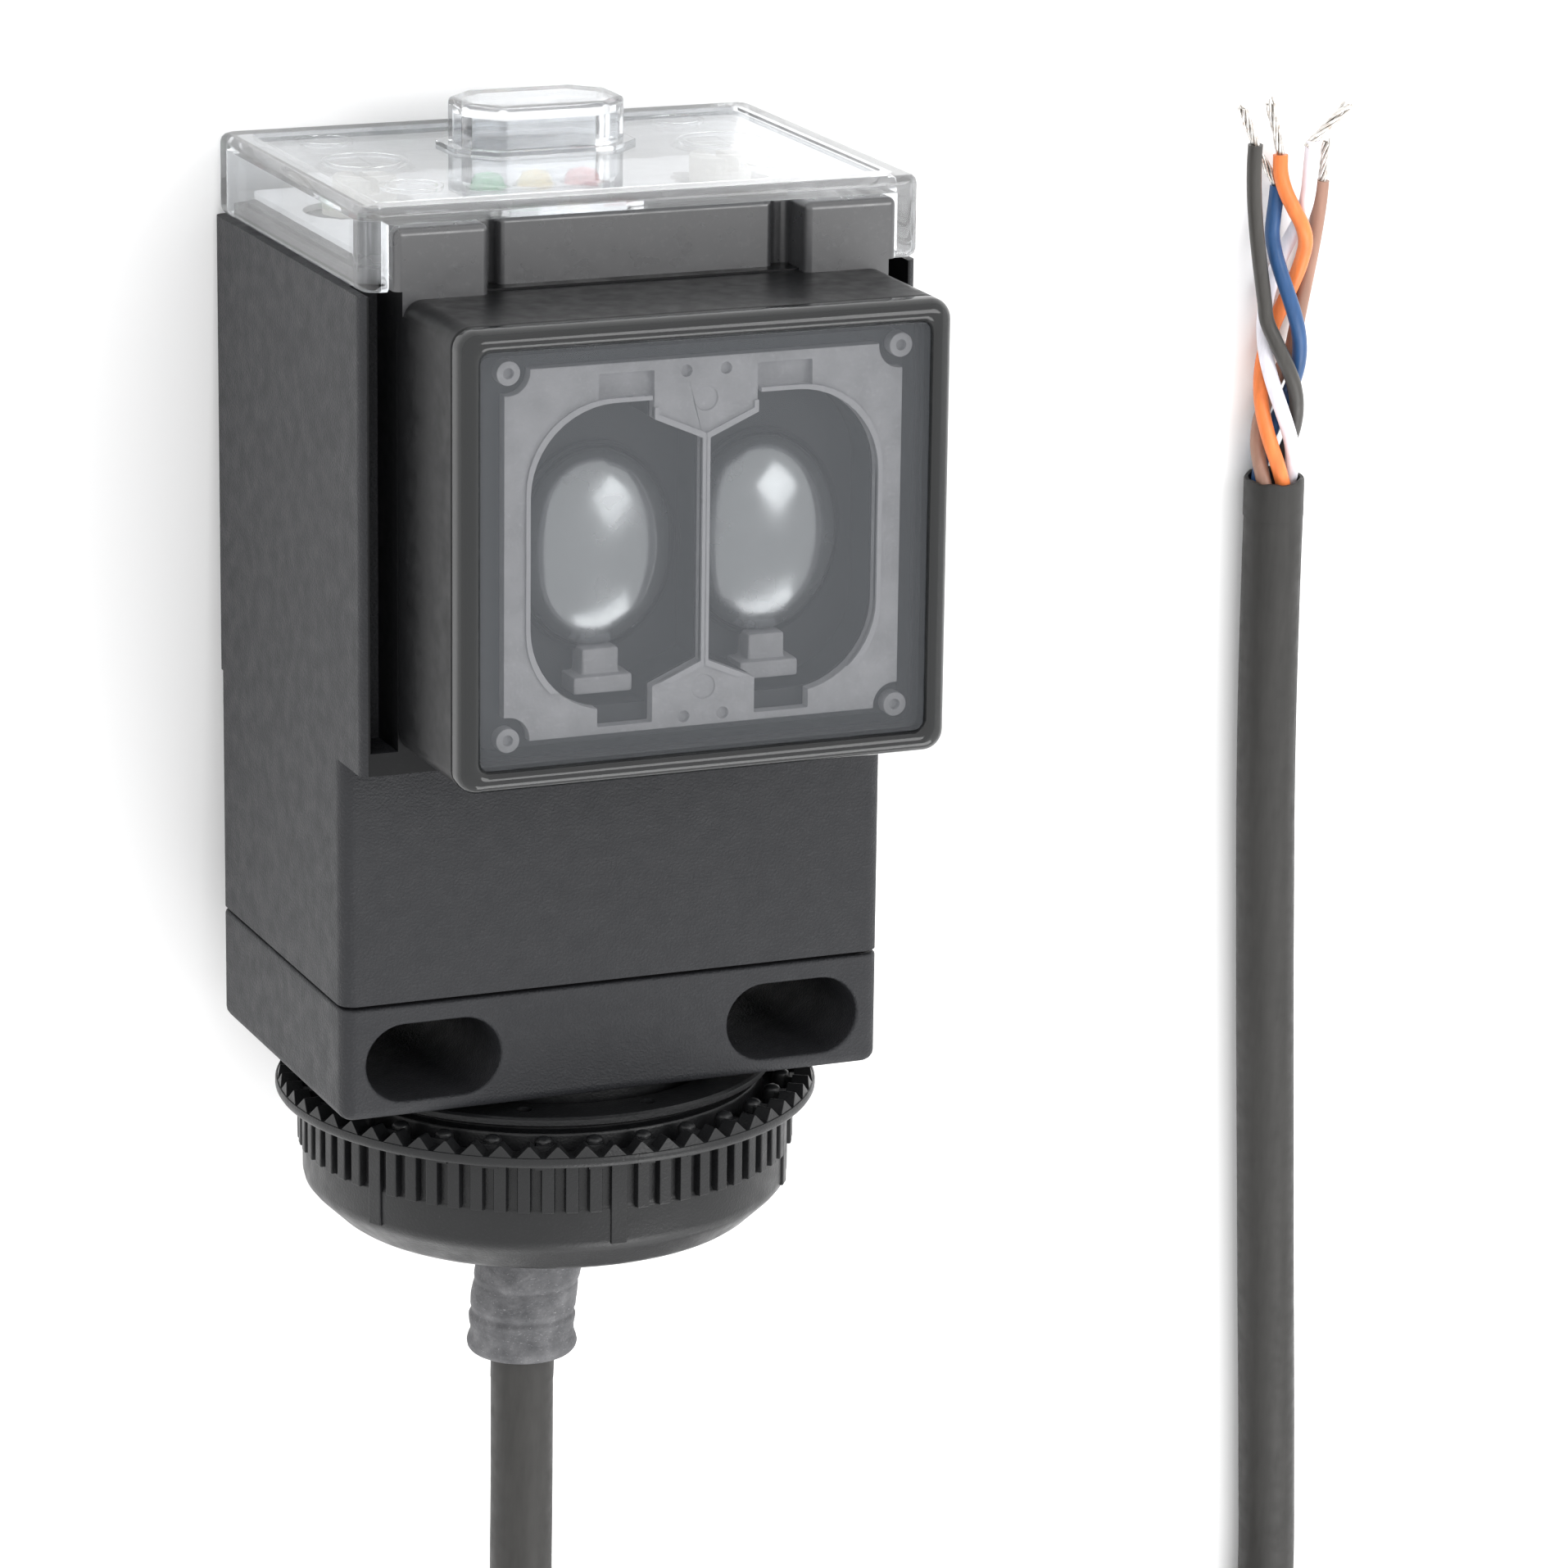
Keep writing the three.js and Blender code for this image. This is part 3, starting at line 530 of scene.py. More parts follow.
def coil_route():
    """The first part turn comes down onto the top layer, then nine turns step from place to place."""
    points = []
    for angle in range(ENTRY_ANGLE, 360, TURN_STEP):
        drop = 1 - ease(angle, 265, 335)
        points.append(coil_point(0, 2, angle, drop * (COIL_PITCH + 0.5)))
    for turn, step_from in enumerate(COIL_STEPS_FROM):
        here, there = COIL_STATIONS[turn], COIL_STATIONS[turn + 1]
        for angle in range(0, 360, TURN_STEP):
            share = ease(angle, step_from, step_from + STEP_SPAN)
            ring = here[0] + (there[0] - here[0]) * share
            layer = here[1] + (there[1] - here[1]) * share
            points.append(coil_point(ring, layer, angle))
    points.append(coil_point(*COIL_STATIONS[-1], 0))
    return points


def curve_piece(name, points, diameter, resolution, sides):
    data = bpy.data.curves.new(name, "CURVE")
    data.dimensions = "3D"
    data.bevel_depth = diameter / 2 * MM
    data.bevel_resolution = sides
    data.resolution_u = resolution
    data.use_fill_caps = True
    spline = data.splines.new("BEZIER")
    spline.bezier_points.add(len(points) - 1)
    for knot, point in zip(spline.bezier_points, points):
        knot.co = Vector(point) * MM
        knot.handle_left_type = "AUTO"
        knot.handle_right_type = "AUTO"
    piece = bpy.data.objects.new(name, data)
    bpy.context.scene.collection.objects.link(piece)
    return piece


def tube_mesh(bm, points, radius, sides):
    """A capped mesh tube that follows the points, its section carried along without twist."""
    side = None
    rings = []
    for i, point in enumerate(points):
        ahead = points[min(i + 1, len(points) - 1)]
        behind = points[max(i - 1, 0)]
        forward = (Vector(ahead) - Vector(behind)).normalized()
        if side is None:
            side = forward.orthogonal().normalized()
        side = (side - forward * side.dot(forward)).normalized()
        other = forward.cross(side)
        ring = []
        for k in range(sides):
            angle = math.tau * k / sides
            ring.append(bm.verts.new(Vector(point) + side * radius * math.cos(angle)
                                     + other * radius * math.sin(angle)))
        rings.append(ring)
    bridge(bm, rings)
    bm.faces.new(rings[0][::-1])
    bm.faces.new(rings[-1])


SHEATH_END = (72.8, 12.3, 2.7)
SHEATH_WALL = 0.42
SHEATH_SIDES = 48
TWIST_PITCH = 26.0
TWIST_RADIUS = 1.6
BUNDLE_LEAN = -0.03
WIRES = [
    # colour, start angle, distance held on the twist, easing length before that, tip, strands' end
    ("brown", -72, 10.9, 8, (75.9, 37.9, 1.1), (76.1, 41.6, 1.1)),
    ("orange", 0, 28.5, 7.7, (71.1, 40.8, 2.3), (69.5, 46, 2.4)),
    ("white", 72, 26.7, 7, (73.5, 42.2, 3.4), (76.8, 45.2, 3.2)),
    ("black", 144, 14.3, 7, (67.8, 42.3, 3.9), (66.3, 45.8, 3.6)),
    ("blue", 216, 22.1, 2.9, (71.3, 37.9, 1.8), (69.5, 40.7, 1.3)),
]
WIRE_HIDDEN = 3.0
WIRE_KNOTS = 22
STRAND_D = 0.26
STRAND_COUNT = 7
STRAND_STEPS = 12
STRAND_TWIST = 4.2
STRAND_HIDDEN = 0.8


def wire_route(start, held, easing, tip):
    length = tip[1] - SHEATH_END[1]
    points = []
    for i in range(WIRE_KNOTS):
        along = -WIRE_HIDDEN + (length + WIRE_HIDDEN) * i / (WIRE_KNOTS - 1)
        angle = math.radians(start) - min(along, held) * math.tau / TWIST_PITCH
        out = ease(along, held - easing, length)
        radius = TWIST_RADIUS * (0.86 + 0.14 * ease(along, -1, 3))
        x = SHEATH_END[0] + BUNDLE_LEAN * along + radius * math.sin(angle)
        z = SHEATH_END[2] + radius * math.cos(angle)
        points.append((x + (tip[0] - x) * out, SHEATH_END[1] + along, z + (tip[2] - z) * out))
    return points


def strand_bundle(name, tip, end, rng):
    """Seven fine tinned strands, loosely laid together, their cut ends uneven."""
    bm = bmesh.new()
    start, finish = Vector(tip), Vector(end)
    forward = (finish - start).normalized()
    side = forward.orthogonal().normalized()
    other = forward.cross(side)
    length = (finish - start).length
    for k in range(STRAND_COUNT):
        radius = 0.0 if k == 0 else STRAND_D * 0.95
        phase = math.tau * k / (STRAND_COUNT - 1)
        reach = length * rng.uniform(0.86, 1.0)
        flare = rng.uniform(0.0, 0.35)
        points = []
        for i in range(STRAND_STEPS + 1):
            share = i / STRAND_STEPS
            angle = phase + share * STRAND_TWIST
            spread = radius * (1 + flare * share * share * 2)
            points.append(start - forward * STRAND_HIDDEN + forward * (reach + STRAND_HIDDEN) * share
                          + side * spread * math.cos(angle) + other * spread * math.sin(angle))
        tube_mesh(bm, points, STRAND_D / 2, 8)
    return new_object(name, bm, WORLD)


def sheath_end(paint, rng):
    """The cable's cut end: a hollow lip, a little ragged, that the cores come out of."""
    bm = bmesh.new()
    outer = CABLE_D / 2 + 0.03
    inner = outer - SHEATH_WALL
    lip = [rng.uniform(-0.12, 0.12) for _ in range(SHEATH_SIDES)]
    forward = (Vector(TAIL_ROUTE[-1]) - Vector(TAIL_ROUTE[-2])).normalized()
    side = Vector((forward.y, -forward.x, 0))
    up = Vector((0, 0, 1))
    stations = [(outer, -3.4, 0), (outer, -0.2, 0), (outer - 0.08, 0.0, 1), (inner + 0.06, 0.02, 1),
                (inner, -0.15, 0), (inner, -2.6, 0), (0.0, -2.6, 0)]
    rings = []
    for radius, along, ragged in stations:
        ring = []
        for k in range(SHEATH_SIDES):
            angle = math.tau * k / SHEATH_SIDES
            slip = 0.5 * (lip[k] + lip[(k + 1) % SHEATH_SIDES]) * ragged
            ring.append(bm.verts.new(Vector(SHEATH_END) - forward * 0.3 + forward * (along + slip)
                                     + side * radius * math.cos(angle) + up * radius * math.sin(angle)))
        rings.append(ring)
    bridge(bm, rings)
    bm.faces.new(rings[0])
    bmesh.ops.remove_doubles(bm, verts=bm.verts, dist=1e-5)
    collar = new_object("sheath_end", bm, WORLD)
    smooth(collar, 50)
    return finish_piece(collar, "housing", paint["cable"])


def add_cable(paint):
    route = LEAD_ROUTE + coil_route()[1:] + TAIL_ROUTE[:-1] + [TAIL_STOP]
    cable = curve_piece("cable", route, CABLE_D, 4, 8)
    finish_piece(cable, "housing", paint["cable"],
                 nodes=["cable_lead", "cable_coil", "cable_tail"])

    rng = random.Random(4)
    with_cable = [sheath_end(paint, rng), coil_tie(paint)]
    wires = []
    for color, start, held, easing, tip, end in WIRES:
        points = wire_route(start, held, easing, tip)
        wire = curve_piece(f"wire_{color}", points, WIRE_D, 5, 5)
        finish_piece(wire, "housing", paint[color], nodes=[f"conductor_{color}"])
        strands = strand_bundle(f"strands_{color}_fine", tip, end, rng)
        smooth(strands, 60)
        finish_piece(strands, "housing", paint["tin"], nodes=[f"strands_{color}"])
        wires.append((wire, strands, points[0]))
    with_cable += [wire for wire, strands, first in wires] + [strands for wire, strands, first in wires]


def coil_tie(paint):
    """A strap round the wound turns, with its small square head on top."""
    gap = CABLE_D / 2 + 0.1
    inside = COIL_INNER - CABLE_D / 2 - 0.1
    outside = COIL_INNER + 3 * COIL_PITCH + gap
    shoulder = COIL_INNER + 2 * COIL_PITCH + gap
    top = CABLE_FLOOR + 2 * COIL_PITCH + gap
    middle = CABLE_FLOOR + gap
    thick = 0.9
    inner_loop = [(inside, 0.12), (outside, 0.12), (outside, middle), (shoulder, top), (inside, top)]
    outer_loop = [(inside - thick, 0.02), (outside + thick, 0.02), (outside + thick, middle + 0.3),
                  (shoulder + 0.5, top + thick), (inside - thick, top + thick)]
    bm = bmesh.new()
    half = 1.9
    rings = []
    for loop, level in ((inner_loop, -half), (outer_loop, -half), (outer_loop, half), (inner_loop, half)):
        rings.append([bm.verts.new((r, level, z)) for r, z in loop])
    bridge(bm, rings, closed=True)
    strap = new_object("coil_strap", bm, Matrix.Identity(4))
    join(strap, box("coil_strap_head", inside + 3, inside + 8.5, -2.7, 2.7, top + 0.2, top + 2.9))
    soften(strap, 0.25, 2)
    smooth(strap)
    turn = Matrix.Translation(Vector((*COIL_CENTRE, 0))) @ Matrix.Rotation(-math.pi / 6, 4, "Z")
    return finish_piece(strap, "housing", paint["nut"], WORLD @ turn, ["coil_tie"])


# ---- Housing and base ----
def pod_outline(grow=0.0, r=POD_CORNER):
    return rounded(-POD_HALF - grow, POD_BOTTOM - grow, POD_HALF + grow, POD_TOP + grow, r, 8)


def neck_outline():
    half = [(20.5, 36.8), (12.9, 36.8), (12.9, 33), (11.3, 33), (11.3, 34.2)]
    return [(-20.5, 31), (20.5, 31)] + half + [(-x, z) for x, z in reversed(half)]


def add_housing(paint):
    lower = prism("housing_shell", rounded(-HALF_W, 0, HALF_W, LOWER_Z, 1.3), BASE_H + 0.15, LEDGE_Y + 1, "y")
    upper = prism("upper", rounded(-HALF_W, 0, HALF_W, UPPER_Z, 0.8), LEDGE_Y, HOUSING_TOP, "y")
    pod = prism("pod", pod_outline(), 30, POD_Z, "z")
    soften(pod, 0.3, 3)
    neck = prism("neck", neck_outline(), HOUSING_TOP - 2, NECK_TOP, "y")
    soften(neck, 1.5, 5, 60)
    deck = prism("deck", rounded(-20.4, 3.2, 20.4, 31.5, 1), HOUSING_TOP - 1, 68.5, "y")
    join(lower, upper, pod, neck, deck)
    for side in (-1, 1):
        edges = sorted((side * (POD_HALF + 0.02), side * (HALF_W - 0.75)))
        cut(lower, box("ear_slot", *edges, POD_BOTTOM, HOUSING_TOP + 0.5, 31, UPPER_Z + 2))
        cut(lower, prism("pot_hole", circle(side * 15, 14, 3.8), 64, 70, "y"))
    cut(lower, prism("seat", pod_outline(-0.9, 1.2), 46.6, 52, "z"))
    cut(lower, prism("bay", rounded(-17.85, 33.3, 17.85, 64.75, 0.8, 4), 22, 52, "z"))
    cut(lower, box("room", -20.8, 20.8, 0, 64.7, 2, 28.7))
    for step in (-1, 0, 1):
        cut(lower, prism("lamp_hole", circle(step * 4, 12, 1.8, 24), 64, 70, "y"))
    soften(lower, 0.28, 3)
    smooth(lower)
    lower.data.materials.append(paint["housing"])
    lower.data.materials.append(paint["pod_painted_shade"])
    lower.data.materials.append(paint["neck"])
    for face in lower.data.polygons:
        x, y, z = face.center
        # Pod faces and the walls of the slots beside the pod take the darker copy: painted shade.
        pod_side = z > UPPER_Z + 0.2 or (y > HOUSING_TOP + 0.3 and z > 31)
        slot_wall = z > 31 and y > POD_BOTTOM and abs(x) < HALF_W - 0.7
        face.material_index = 1 if pod_side or slot_wall else 0
        # Neck and pad faces take the lighter copy: painted sheen.
        if y > HOUSING_TOP + 0.3 and 31 < z < 42:
            face.material_index = 2
    lower.data.transform(SENSOR)
    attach(lower, "housing")
    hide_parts("main_housing")


def slot_outline(x):
    reach = SLOT_HALF - SLOT_R
    points = []
    for side, start in ((1, -90), (-1, 90)):
        for i in range(17):
            angle = math.radians(start + 180 * i / 16)
            points.append((x + side * reach + SLOT_R * math.cos(angle), SLOT_Y + SLOT_R * math.sin(angle)))
    return points


def add_base(paint):
    base = prism("base_shell", rounded(-HALF_W, 0, HALF_W, LOWER_Z, 1.3), 0, BASE_H + 3, "y")
    soften(base, 0.9, 4)
    cut(base, box("trim", -30, 30, BASE_H - 0.15, BASE_H + 6, -5, 40))
    for x in (-SLOT_X, SLOT_X):
        cut(base, prism("slot", slot_outline(x), -2, 34, "z"))
    soften(base, 0.28, 3)
    smooth(base)
    finish_piece(base, "housing", paint["housing"], SENSOR, ["base_body"])

    bm = bmesh.new()
    extrude(bm, rounded(-21.9, 0.9, 21.9, 29.8, 1), BASE_H - 0.4, BASE_H + 0.4, "y")
    seam = new_object("seam_fill", bm)
    finish_piece(seam, "housing", paint["seal"], nodes=["base_gasket"])


def add_nose(paint):
    """The nose below the base, ring-grooved where the real one has a thread."""
    crest, root, pitch = 14.55, 13.75, 1.5
    y = -13.5
    thread = [(8, y), (root, y)]
    while y < -1.7:
        thread += [(root, y + 0.15), (crest, y + 0.65), (crest, y + 0.85), (root, y + 1.35)]
        y += pitch
    thread += [(root, 0.5), (8, 0.5)]
    nose = turned("threaded_nose", thread, 96)
    smooth(nose, 50)
    finish_piece(nose, "housing", paint["nut"])


# ---- Window and optics ----
def frame_strip(name, rings):
    """A closed band swept round the pod's outline; each ring is (inset, z)."""
    bm = bmesh.new()
    loops = []
    for inset, z in rings:
        outline = pod_outline(-inset, max(0.3, POD_CORNER - inset * 0.45))
        loops.append([bm.verts.new((x, y, z)) for x, y in outline])
    bridge(bm, loops, closed=True)
    return new_object(name, bm)


def add_window(paint):
    """A smoked cap over the pod's whole front: a clear flat inside a rounded, raised rim."""
    plate = prism("window_plate", pod_outline(-1.72, 0.8), 47.8, 49.05, "z")
    soften(plate, 0.1, 2)
    smooth(plate)
    finish_piece(plate, "housing", paint["window"], SENSOR, ["front_window"])
    rim = frame_strip("window_rim", [
        (0, 47.75), (0, 48.5), (0.08, 48.9), (0.3, 49.3), (0.65, 49.55), (1.0, 49.62),
        (1.3, 49.56), (1.55, 49.38), (1.68, 49.12), (1.74, 48.95), (1.74, 47.75)])
    smooth(rim, 80)
    finish_piece(rim, "housing", paint["rim"])
    gasket = frame_strip("window_seal", [(1.3, 46.9), (1.3, 47.6), (1.95, 47.6), (1.95, 46.9)])
    smooth(gasket)
    finish_piece(gasket, "housing", paint["seal"], nodes=["window_gasket"])


OPTICS_X = 0.55
TUNNEL_IN = 0.3
TUNNEL_OUT = 14.1
TUNNEL_LOW = 36.5
TUNNEL_HIGH = 60.2
TUNNEL_R = 6.8
SPLAY_X = 3.9
SPLAY_TIP = 1.5
SPLAY_HEEL = 3.2
LENS_X = 6.8
LENS_Y = 48.2
LENS_Z = 42.9
LENS_HALF_X = 6.2
LENS_HALF_Y = 7.7
LENS_HALF_Z = 2.9
LENS_FLOOR = 42.3
PLATE_BACK = 46.2
BOSSES = [(-15.3, 63), (16.4, 63), (-15.3, 34.8), (16.4, 34.8)]


def tunnel(side, grow=0.0):
    """A light tunnel's outline: straight at the septum, splayed at its ends, round outside."""
    inner = OPTICS_X * side + TUNNEL_IN - grow
    outer = OPTICS_X * side + TUNNEL_OUT + grow
    low = TUNNEL_LOW - grow
    high = TUNNEL_HIGH + grow
    splay = inner + SPLAY_X
    points = []
    for cx, cy, start in ((outer - TUNNEL_R, high - TUNNEL_R, 0), (outer - TUNNEL_R, low + TUNNEL_R, 270)):
        for i in range(13):
            angle = math.radians(start + 90 * i / 12)
            points.append((side * (cx + TUNNEL_R * math.cos(angle)), cy + TUNNEL_R * math.sin(angle)))
        if start == 0:
            points += [(side * splay, high), (side * splay, high - SPLAY_TIP),
                       (side * inner, high - SPLAY_HEEL), (side * inner, low + SPLAY_HEEL),
                       (side * splay, low + SPLAY_TIP), (side * splay, low)]
    return points


def add_carrier(paint):
    """The grey frame behind the window: its plate with notches and marks, then its four bosses."""
    plate = prism("carrier_plate", rounded(-15.6, 34.6, 16.6, 63.2, 0.4), PLATE_BACK, 47.3, "z")
    for side in (-1, 1):
        cut(plate, prism("aperture", tunnel(side), 45, 49, "z"))
        for y0, y1, floor in ((35.2, 38.9, 45), (60.0, 62.4, 46.6)):
            x0, x1 = sorted((side * 4.2 + OPTICS_X, side * 8.6 + OPTICS_X))
            cut(plate, box("notch", x0, x1, y0, y1, floor, 49))
    for x, y in BOSSES:
        cut(plate, prism("boss_bite", circle(x, y, 1.75, 28), 45, 49, "z"))
    for x in (-1.6, 1.6):
        for y in (35.4, 62.2):
            cut(plate, prism("dot", circle(x + OPTICS_X, y, 0.45, 16), 46.9, 49, "z"))
    for y in (37.6, 60.0):
        cut(plate, prism("ring_mark", circle(OPTICS_X, y, 0.95, 20), 47.12, 49, "z"))
    soften(plate, 0.1, 2)
    smooth(plate)
    finish_piece(plate, "housing", paint["carrier"], SENSOR, ["lens_carrier"])
    for x, y in BOSSES:
        boss = prism("carrier_boss", circle(x, y, 0.95, 24), PLATE_BACK, 47.4, "z")
        cut(boss, prism("boss_hole", circle(x, y, 0.4, 16), 46.9, 49, "z"))
        soften(boss, 0.1, 2)
        smooth(boss)
        finish_piece(boss, "housing", paint["carrier"], SENSOR)


def add_ridge(paint, side):
    """The pale raised edge round one light tunnel, open at its lower end and partly at its upper end."""
    ridge = prism("carrier_ridge", tunnel(side, 0.34), 46.9, 47.5, "z")
    cut(ridge, prism("aperture", tunnel(side), 45, 49, "z"))
    ends = sorted((side * 4.4 + OPTICS_X, side * -3.0 + OPTICS_X))
    cut(ridge, box("gap_low", -40, 40, 30, 38.2, 45, 50))
    cut(ridge, box("gap_high", *ends, 59.6, 70, 45, 50))
    smooth(ridge)
    finish_piece(ridge, "housing", paint["ridge"], SENSOR)


def add_baffle(paint):
    baffle = prism("baffle_body", rounded(-17.2, 33.8, 17.2, 64, 1), 36, 45.9, "z")
    for side in (-1, 1):
        cut(baffle, prism("tunnel", tunnel(side), LENS_FLOOR, 50, "z"))
        cut(baffle, prism("lens_seat", circle(side * LENS_X, LENS_Y, 6.3, 48, 1.25), 34, 43, "z"))
    soften(baffle, 0.25, 2)
    smooth(baffle)
    finish_piece(baffle, "housing", paint["inside"], SENSOR, ["optical_baffle"])


def add_lens(paint, side, node):
    """One oval lens, the thin ring that holds it, and the clip below it."""
    x = side * LENS_X
    bm = bmesh.new()
    bmesh.ops.create_uvsphere(bm, u_segments=64, v_segments=32, radius=1)
    bmesh.ops.scale(bm, vec=(LENS_HALF_X, LENS_HALF_Y, LENS_HALF_Z), verts=bm.verts)
    bmesh.ops.translate(bm, vec=(x, LENS_Y, LENS_Z), verts=bm.verts)
    lens = new_object(node + "_polished", bm)
    smooth(lens, 180, False)
    finish_piece(lens, "housing", paint["lens"], nodes=[node])

    bm = bmesh.new()
    loops = []
    for grow, z in ((0.08, 42.5), (0.08, 43.0), (0.2, 43.15), (0.45, 43.0), (0.45, 42.5)):
        r = LENS_HALF_X + grow
        loops.append([bm.verts.new((px, py, z)) for px, py in
                      circle(x, LENS_Y, r, 64, (LENS_HALF_Y + grow) / r)])
    bridge(bm, loops, closed=True)
    holder = new_object(node + "_ring", bm)
    smooth(holder, 50)
    finish_piece(holder, "housing", paint["inside"])

    clip = box(node + "_clip", x - 1.5, x + 1.5, 38.0, 40.6, LENS_FLOOR, 44.6)
    join(clip, box("tab", x - 2.4, x + 2.4, 37.2, 38.6, LENS_FLOOR, 45.2))
    soften(clip, 0.25, 2)
    smooth(clip)
    finish_piece(clip, "housing", paint["carrier"], SENSOR)


def add_optics(paint):
    add_carrier(paint)
    for side in (-1, 1):
        add_ridge(paint, side)
    add_baffle(paint)
    for side, node in ((-1, "emitter_lens"), (1, "receiver_lens")):
        add_lens(paint, side, node)


# ---- Clear cover ----
def dome_outline(inset=0.0):
    x, z0, z1 = 6.8 - inset, 7.7 + inset, 16.5 - inset
    chamfer = 2.4 - inset * 0.4
    return [(x - chamfer, z0), (x, z0 + chamfer), (x, z1 - chamfer), (x - chamfer, z1),
            (-x + chamfer, z1), (-x, z1 - chamfer), (-x, z0 + chamfer), (-x + chamfer, z0)]


def add_cover(paint):
    shell = prism("cover_shell", rounded(-HALF_W, 0.6, HALF_W, 36.3, 1.4), COVER_BOTTOM, COVER_TOP, "y")
    soften(shell, 0.7, 3, 60)
    dome = prism("dome", dome_outline(), COVER_TOP - 0.6, DOME_TOP, "y")
    soften(dome, 0.55, 3)
    join(shell, dome)
    ceiling = COVER_TOP - 1.25
    hollow = prism("hollow", rounded(-21.6, 1.9, 21.6, 33.6, 0.6), COVER_BOTTOM - 1, ceiling, "y")
    front = box("mouth", -20.75, 20.75, COVER_BOTTOM - 1, ceiling, 33.0, 38)
    join(hollow, front)
    cut(shell, hollow)
    cut(shell, prism("dome_hollow", dome_outline(1.2), ceiling - 0.5, DOME_TOP - 1.25, "y"))
    sunk = prism("sunk", rounded(-20.7, 2.9, 20.7, 33.6, 0.8), COVER_TOP - 0.35, COVER_TOP + 1, "y")
    cut(sunk, prism("island", [(x * 1.12, 12.1 + (z - 12.1) * 1.12) for x, z in dome_outline()],
                    COVER_TOP - 1, COVER_TOP + 2, "y"))
    cut(shell, sunk)
    for side in (-1, 1):
        for z, r in ((4.6, 2.2), (14.0, 3.4), (25.0, 2.5)):
            ring = prism("ring", circle(side * 15, z, r, 40), ceiling - 0.3, ceiling + 0.2, "y")
            core = prism("core", circle(side * 15, z, r - 0.45, 40), ceiling - 1, ceiling + 1, "y")
            cut(ring, core)
            join(shell, ring)
    soften(shell, 0.16, 2)
    smooth(shell)
    finish_piece(shell, "clear_cover", paint["cover"], SENSOR, ["top_cover"])


# ---- Nut, washer and strain relief ----
def polar(radius, degrees, y):
    turn = math.radians(degrees)
    return Vector((radius * math.sin(turn), y, NOSE_Z + radius * math.cos(turn)))


def wedge(bm, corners):
    """A closed six-faced block from eight corners: four of one end, then four of the other."""
    verts = [bm.verts.new(c) for c in corners]
    for face in ((0, 1, 2, 3), (7, 6, 5, 4), (0, 4, 5, 1), (1, 5, 6, 2), (2, 6, 7, 3), (3, 7, 4, 0)):
        bm.faces.new([verts[i] for i in face])


def polar_block(bm, r0, r1, a0, a1, y0, y1, draft=0.0):
    """A block between two radii, two angles and two levels; draft narrows its outer face."""
    wedge(bm, [polar(r0, a0, y0), polar(r0, a1, y0), polar(r0, a1, y1), polar(r0, a0, y1),
               polar(r1, a0 + draft, y0), polar(r1, a1 - draft, y0), polar(r1, a1 - draft, y1),
               polar(r1, a0 + draft, y1)])


LAND_TURN = -3.5
LAND_HALF = 2.1
GROUP_COUNT = 6
RIBS_PER_GROUP = 10
FIRST_RIB = 5.6
RIB_STEP = 5.42
RIB_HALF = 2.0
RIB_ROOT = 18.8
RIB_TOP = -3.9
TOOTH_COUNT = 60
TOOTH_HALF = 2.75
POST_COUNT = 30
PIT_COUNT = 10
DRUM_R = 19.9
GROOVE_R = 19.62
RIB_R = 20.32
RIB_END = -8.2


def add_nut(paint):
    bore = 14.85
    profile = [
        (bore, -13.4), (15.3, -14.1), (16.4, -14.2), (16.9, -14.1), (17.4, -13.75), (19.3, -11.95),
        (19.75, -11.4), (DRUM_R, -10.8), (DRUM_R, RIB_END - 0.15), (DRUM_R - 0.1, RIB_END),
        (GROOVE_R, RIB_END + 0.3), (GROOVE_R, -4.1), (GROOVE_R + 0.15, -3.98), (21.6, -3.98), (21.95, -3.88),
        (22.1, -3.65), (22.1, -3.3), (22.0, -3.12), (21.75, -3.05), (20.35, -3.05), (20.2, -3.15),
        (20.1, -4.55), (17.9, -4.55), (17.75, -2.7), (17.6, -2.5), (17.2, -2.45), (17.0, -2.3),
        (17.0, -2.05), (16.8, -1.95), (bore, -1.95),
    ]
    body = turned("nut_body", profile, 180)
    smooth(body, 40)
    finish_piece(body, "ring_nut", paint["nut"], nodes=["mounting_nut"])


def add_ribs(paint):
    """Six groups of ten grip ribs, each group beside a plain land."""
    bm = bmesh.new()
    for group in range(GROUP_COUNT):
        middle = LAND_TURN + group * 360 / GROUP_COUNT
        land = (middle - LAND_HALF, middle + LAND_HALF)
        polar_block(bm, RIB_ROOT, DRUM_R + 0.2, *land, -11.2, RIB_TOP, 0.2)
        for step in range(RIBS_PER_GROUP):
            angle = middle + FIRST_RIB + step * RIB_STEP
            polar_block(bm, RIB_ROOT, RIB_R, angle - RIB_HALF, angle + RIB_HALF, RIB_END - 0.1, RIB_TOP, 0.55)
    ribs = new_object("nut_ribs", bm, Matrix.Identity(4))
    soften(ribs, 0.13, 2)
    smooth(ribs)
    finish_piece(ribs, "ring_nut", paint["nut"], SENSOR)


def add_teeth(paint):
    """The ring of small pointed teeth on the nut's upper rim."""
    bm = bmesh.new()
    low, high = -3.2, -2.22
    for index in range(TOOTH_COUNT):
        a = index * 360 / TOOTH_COUNT
        wedge(bm, [polar(20.4, a - TOOTH_HALF, low), polar(20.4, a + TOOTH_HALF, low),
                   polar(20.4, a + 0.2, high), polar(20.4, a - 0.2, high),
                   polar(21.95, a - TOOTH_HALF, low), polar(21.95, a + TOOTH_HALF, low),
                   polar(21.7, a + 0.2, high), polar(21.7, a - 0.2, high)])
    teeth = new_object("nut_teeth", bm, Matrix.Identity(4))
    soften(teeth, 0.05, 2)
    smooth(teeth)
    finish_piece(teeth, "ring_nut", paint["nut"], SENSOR)


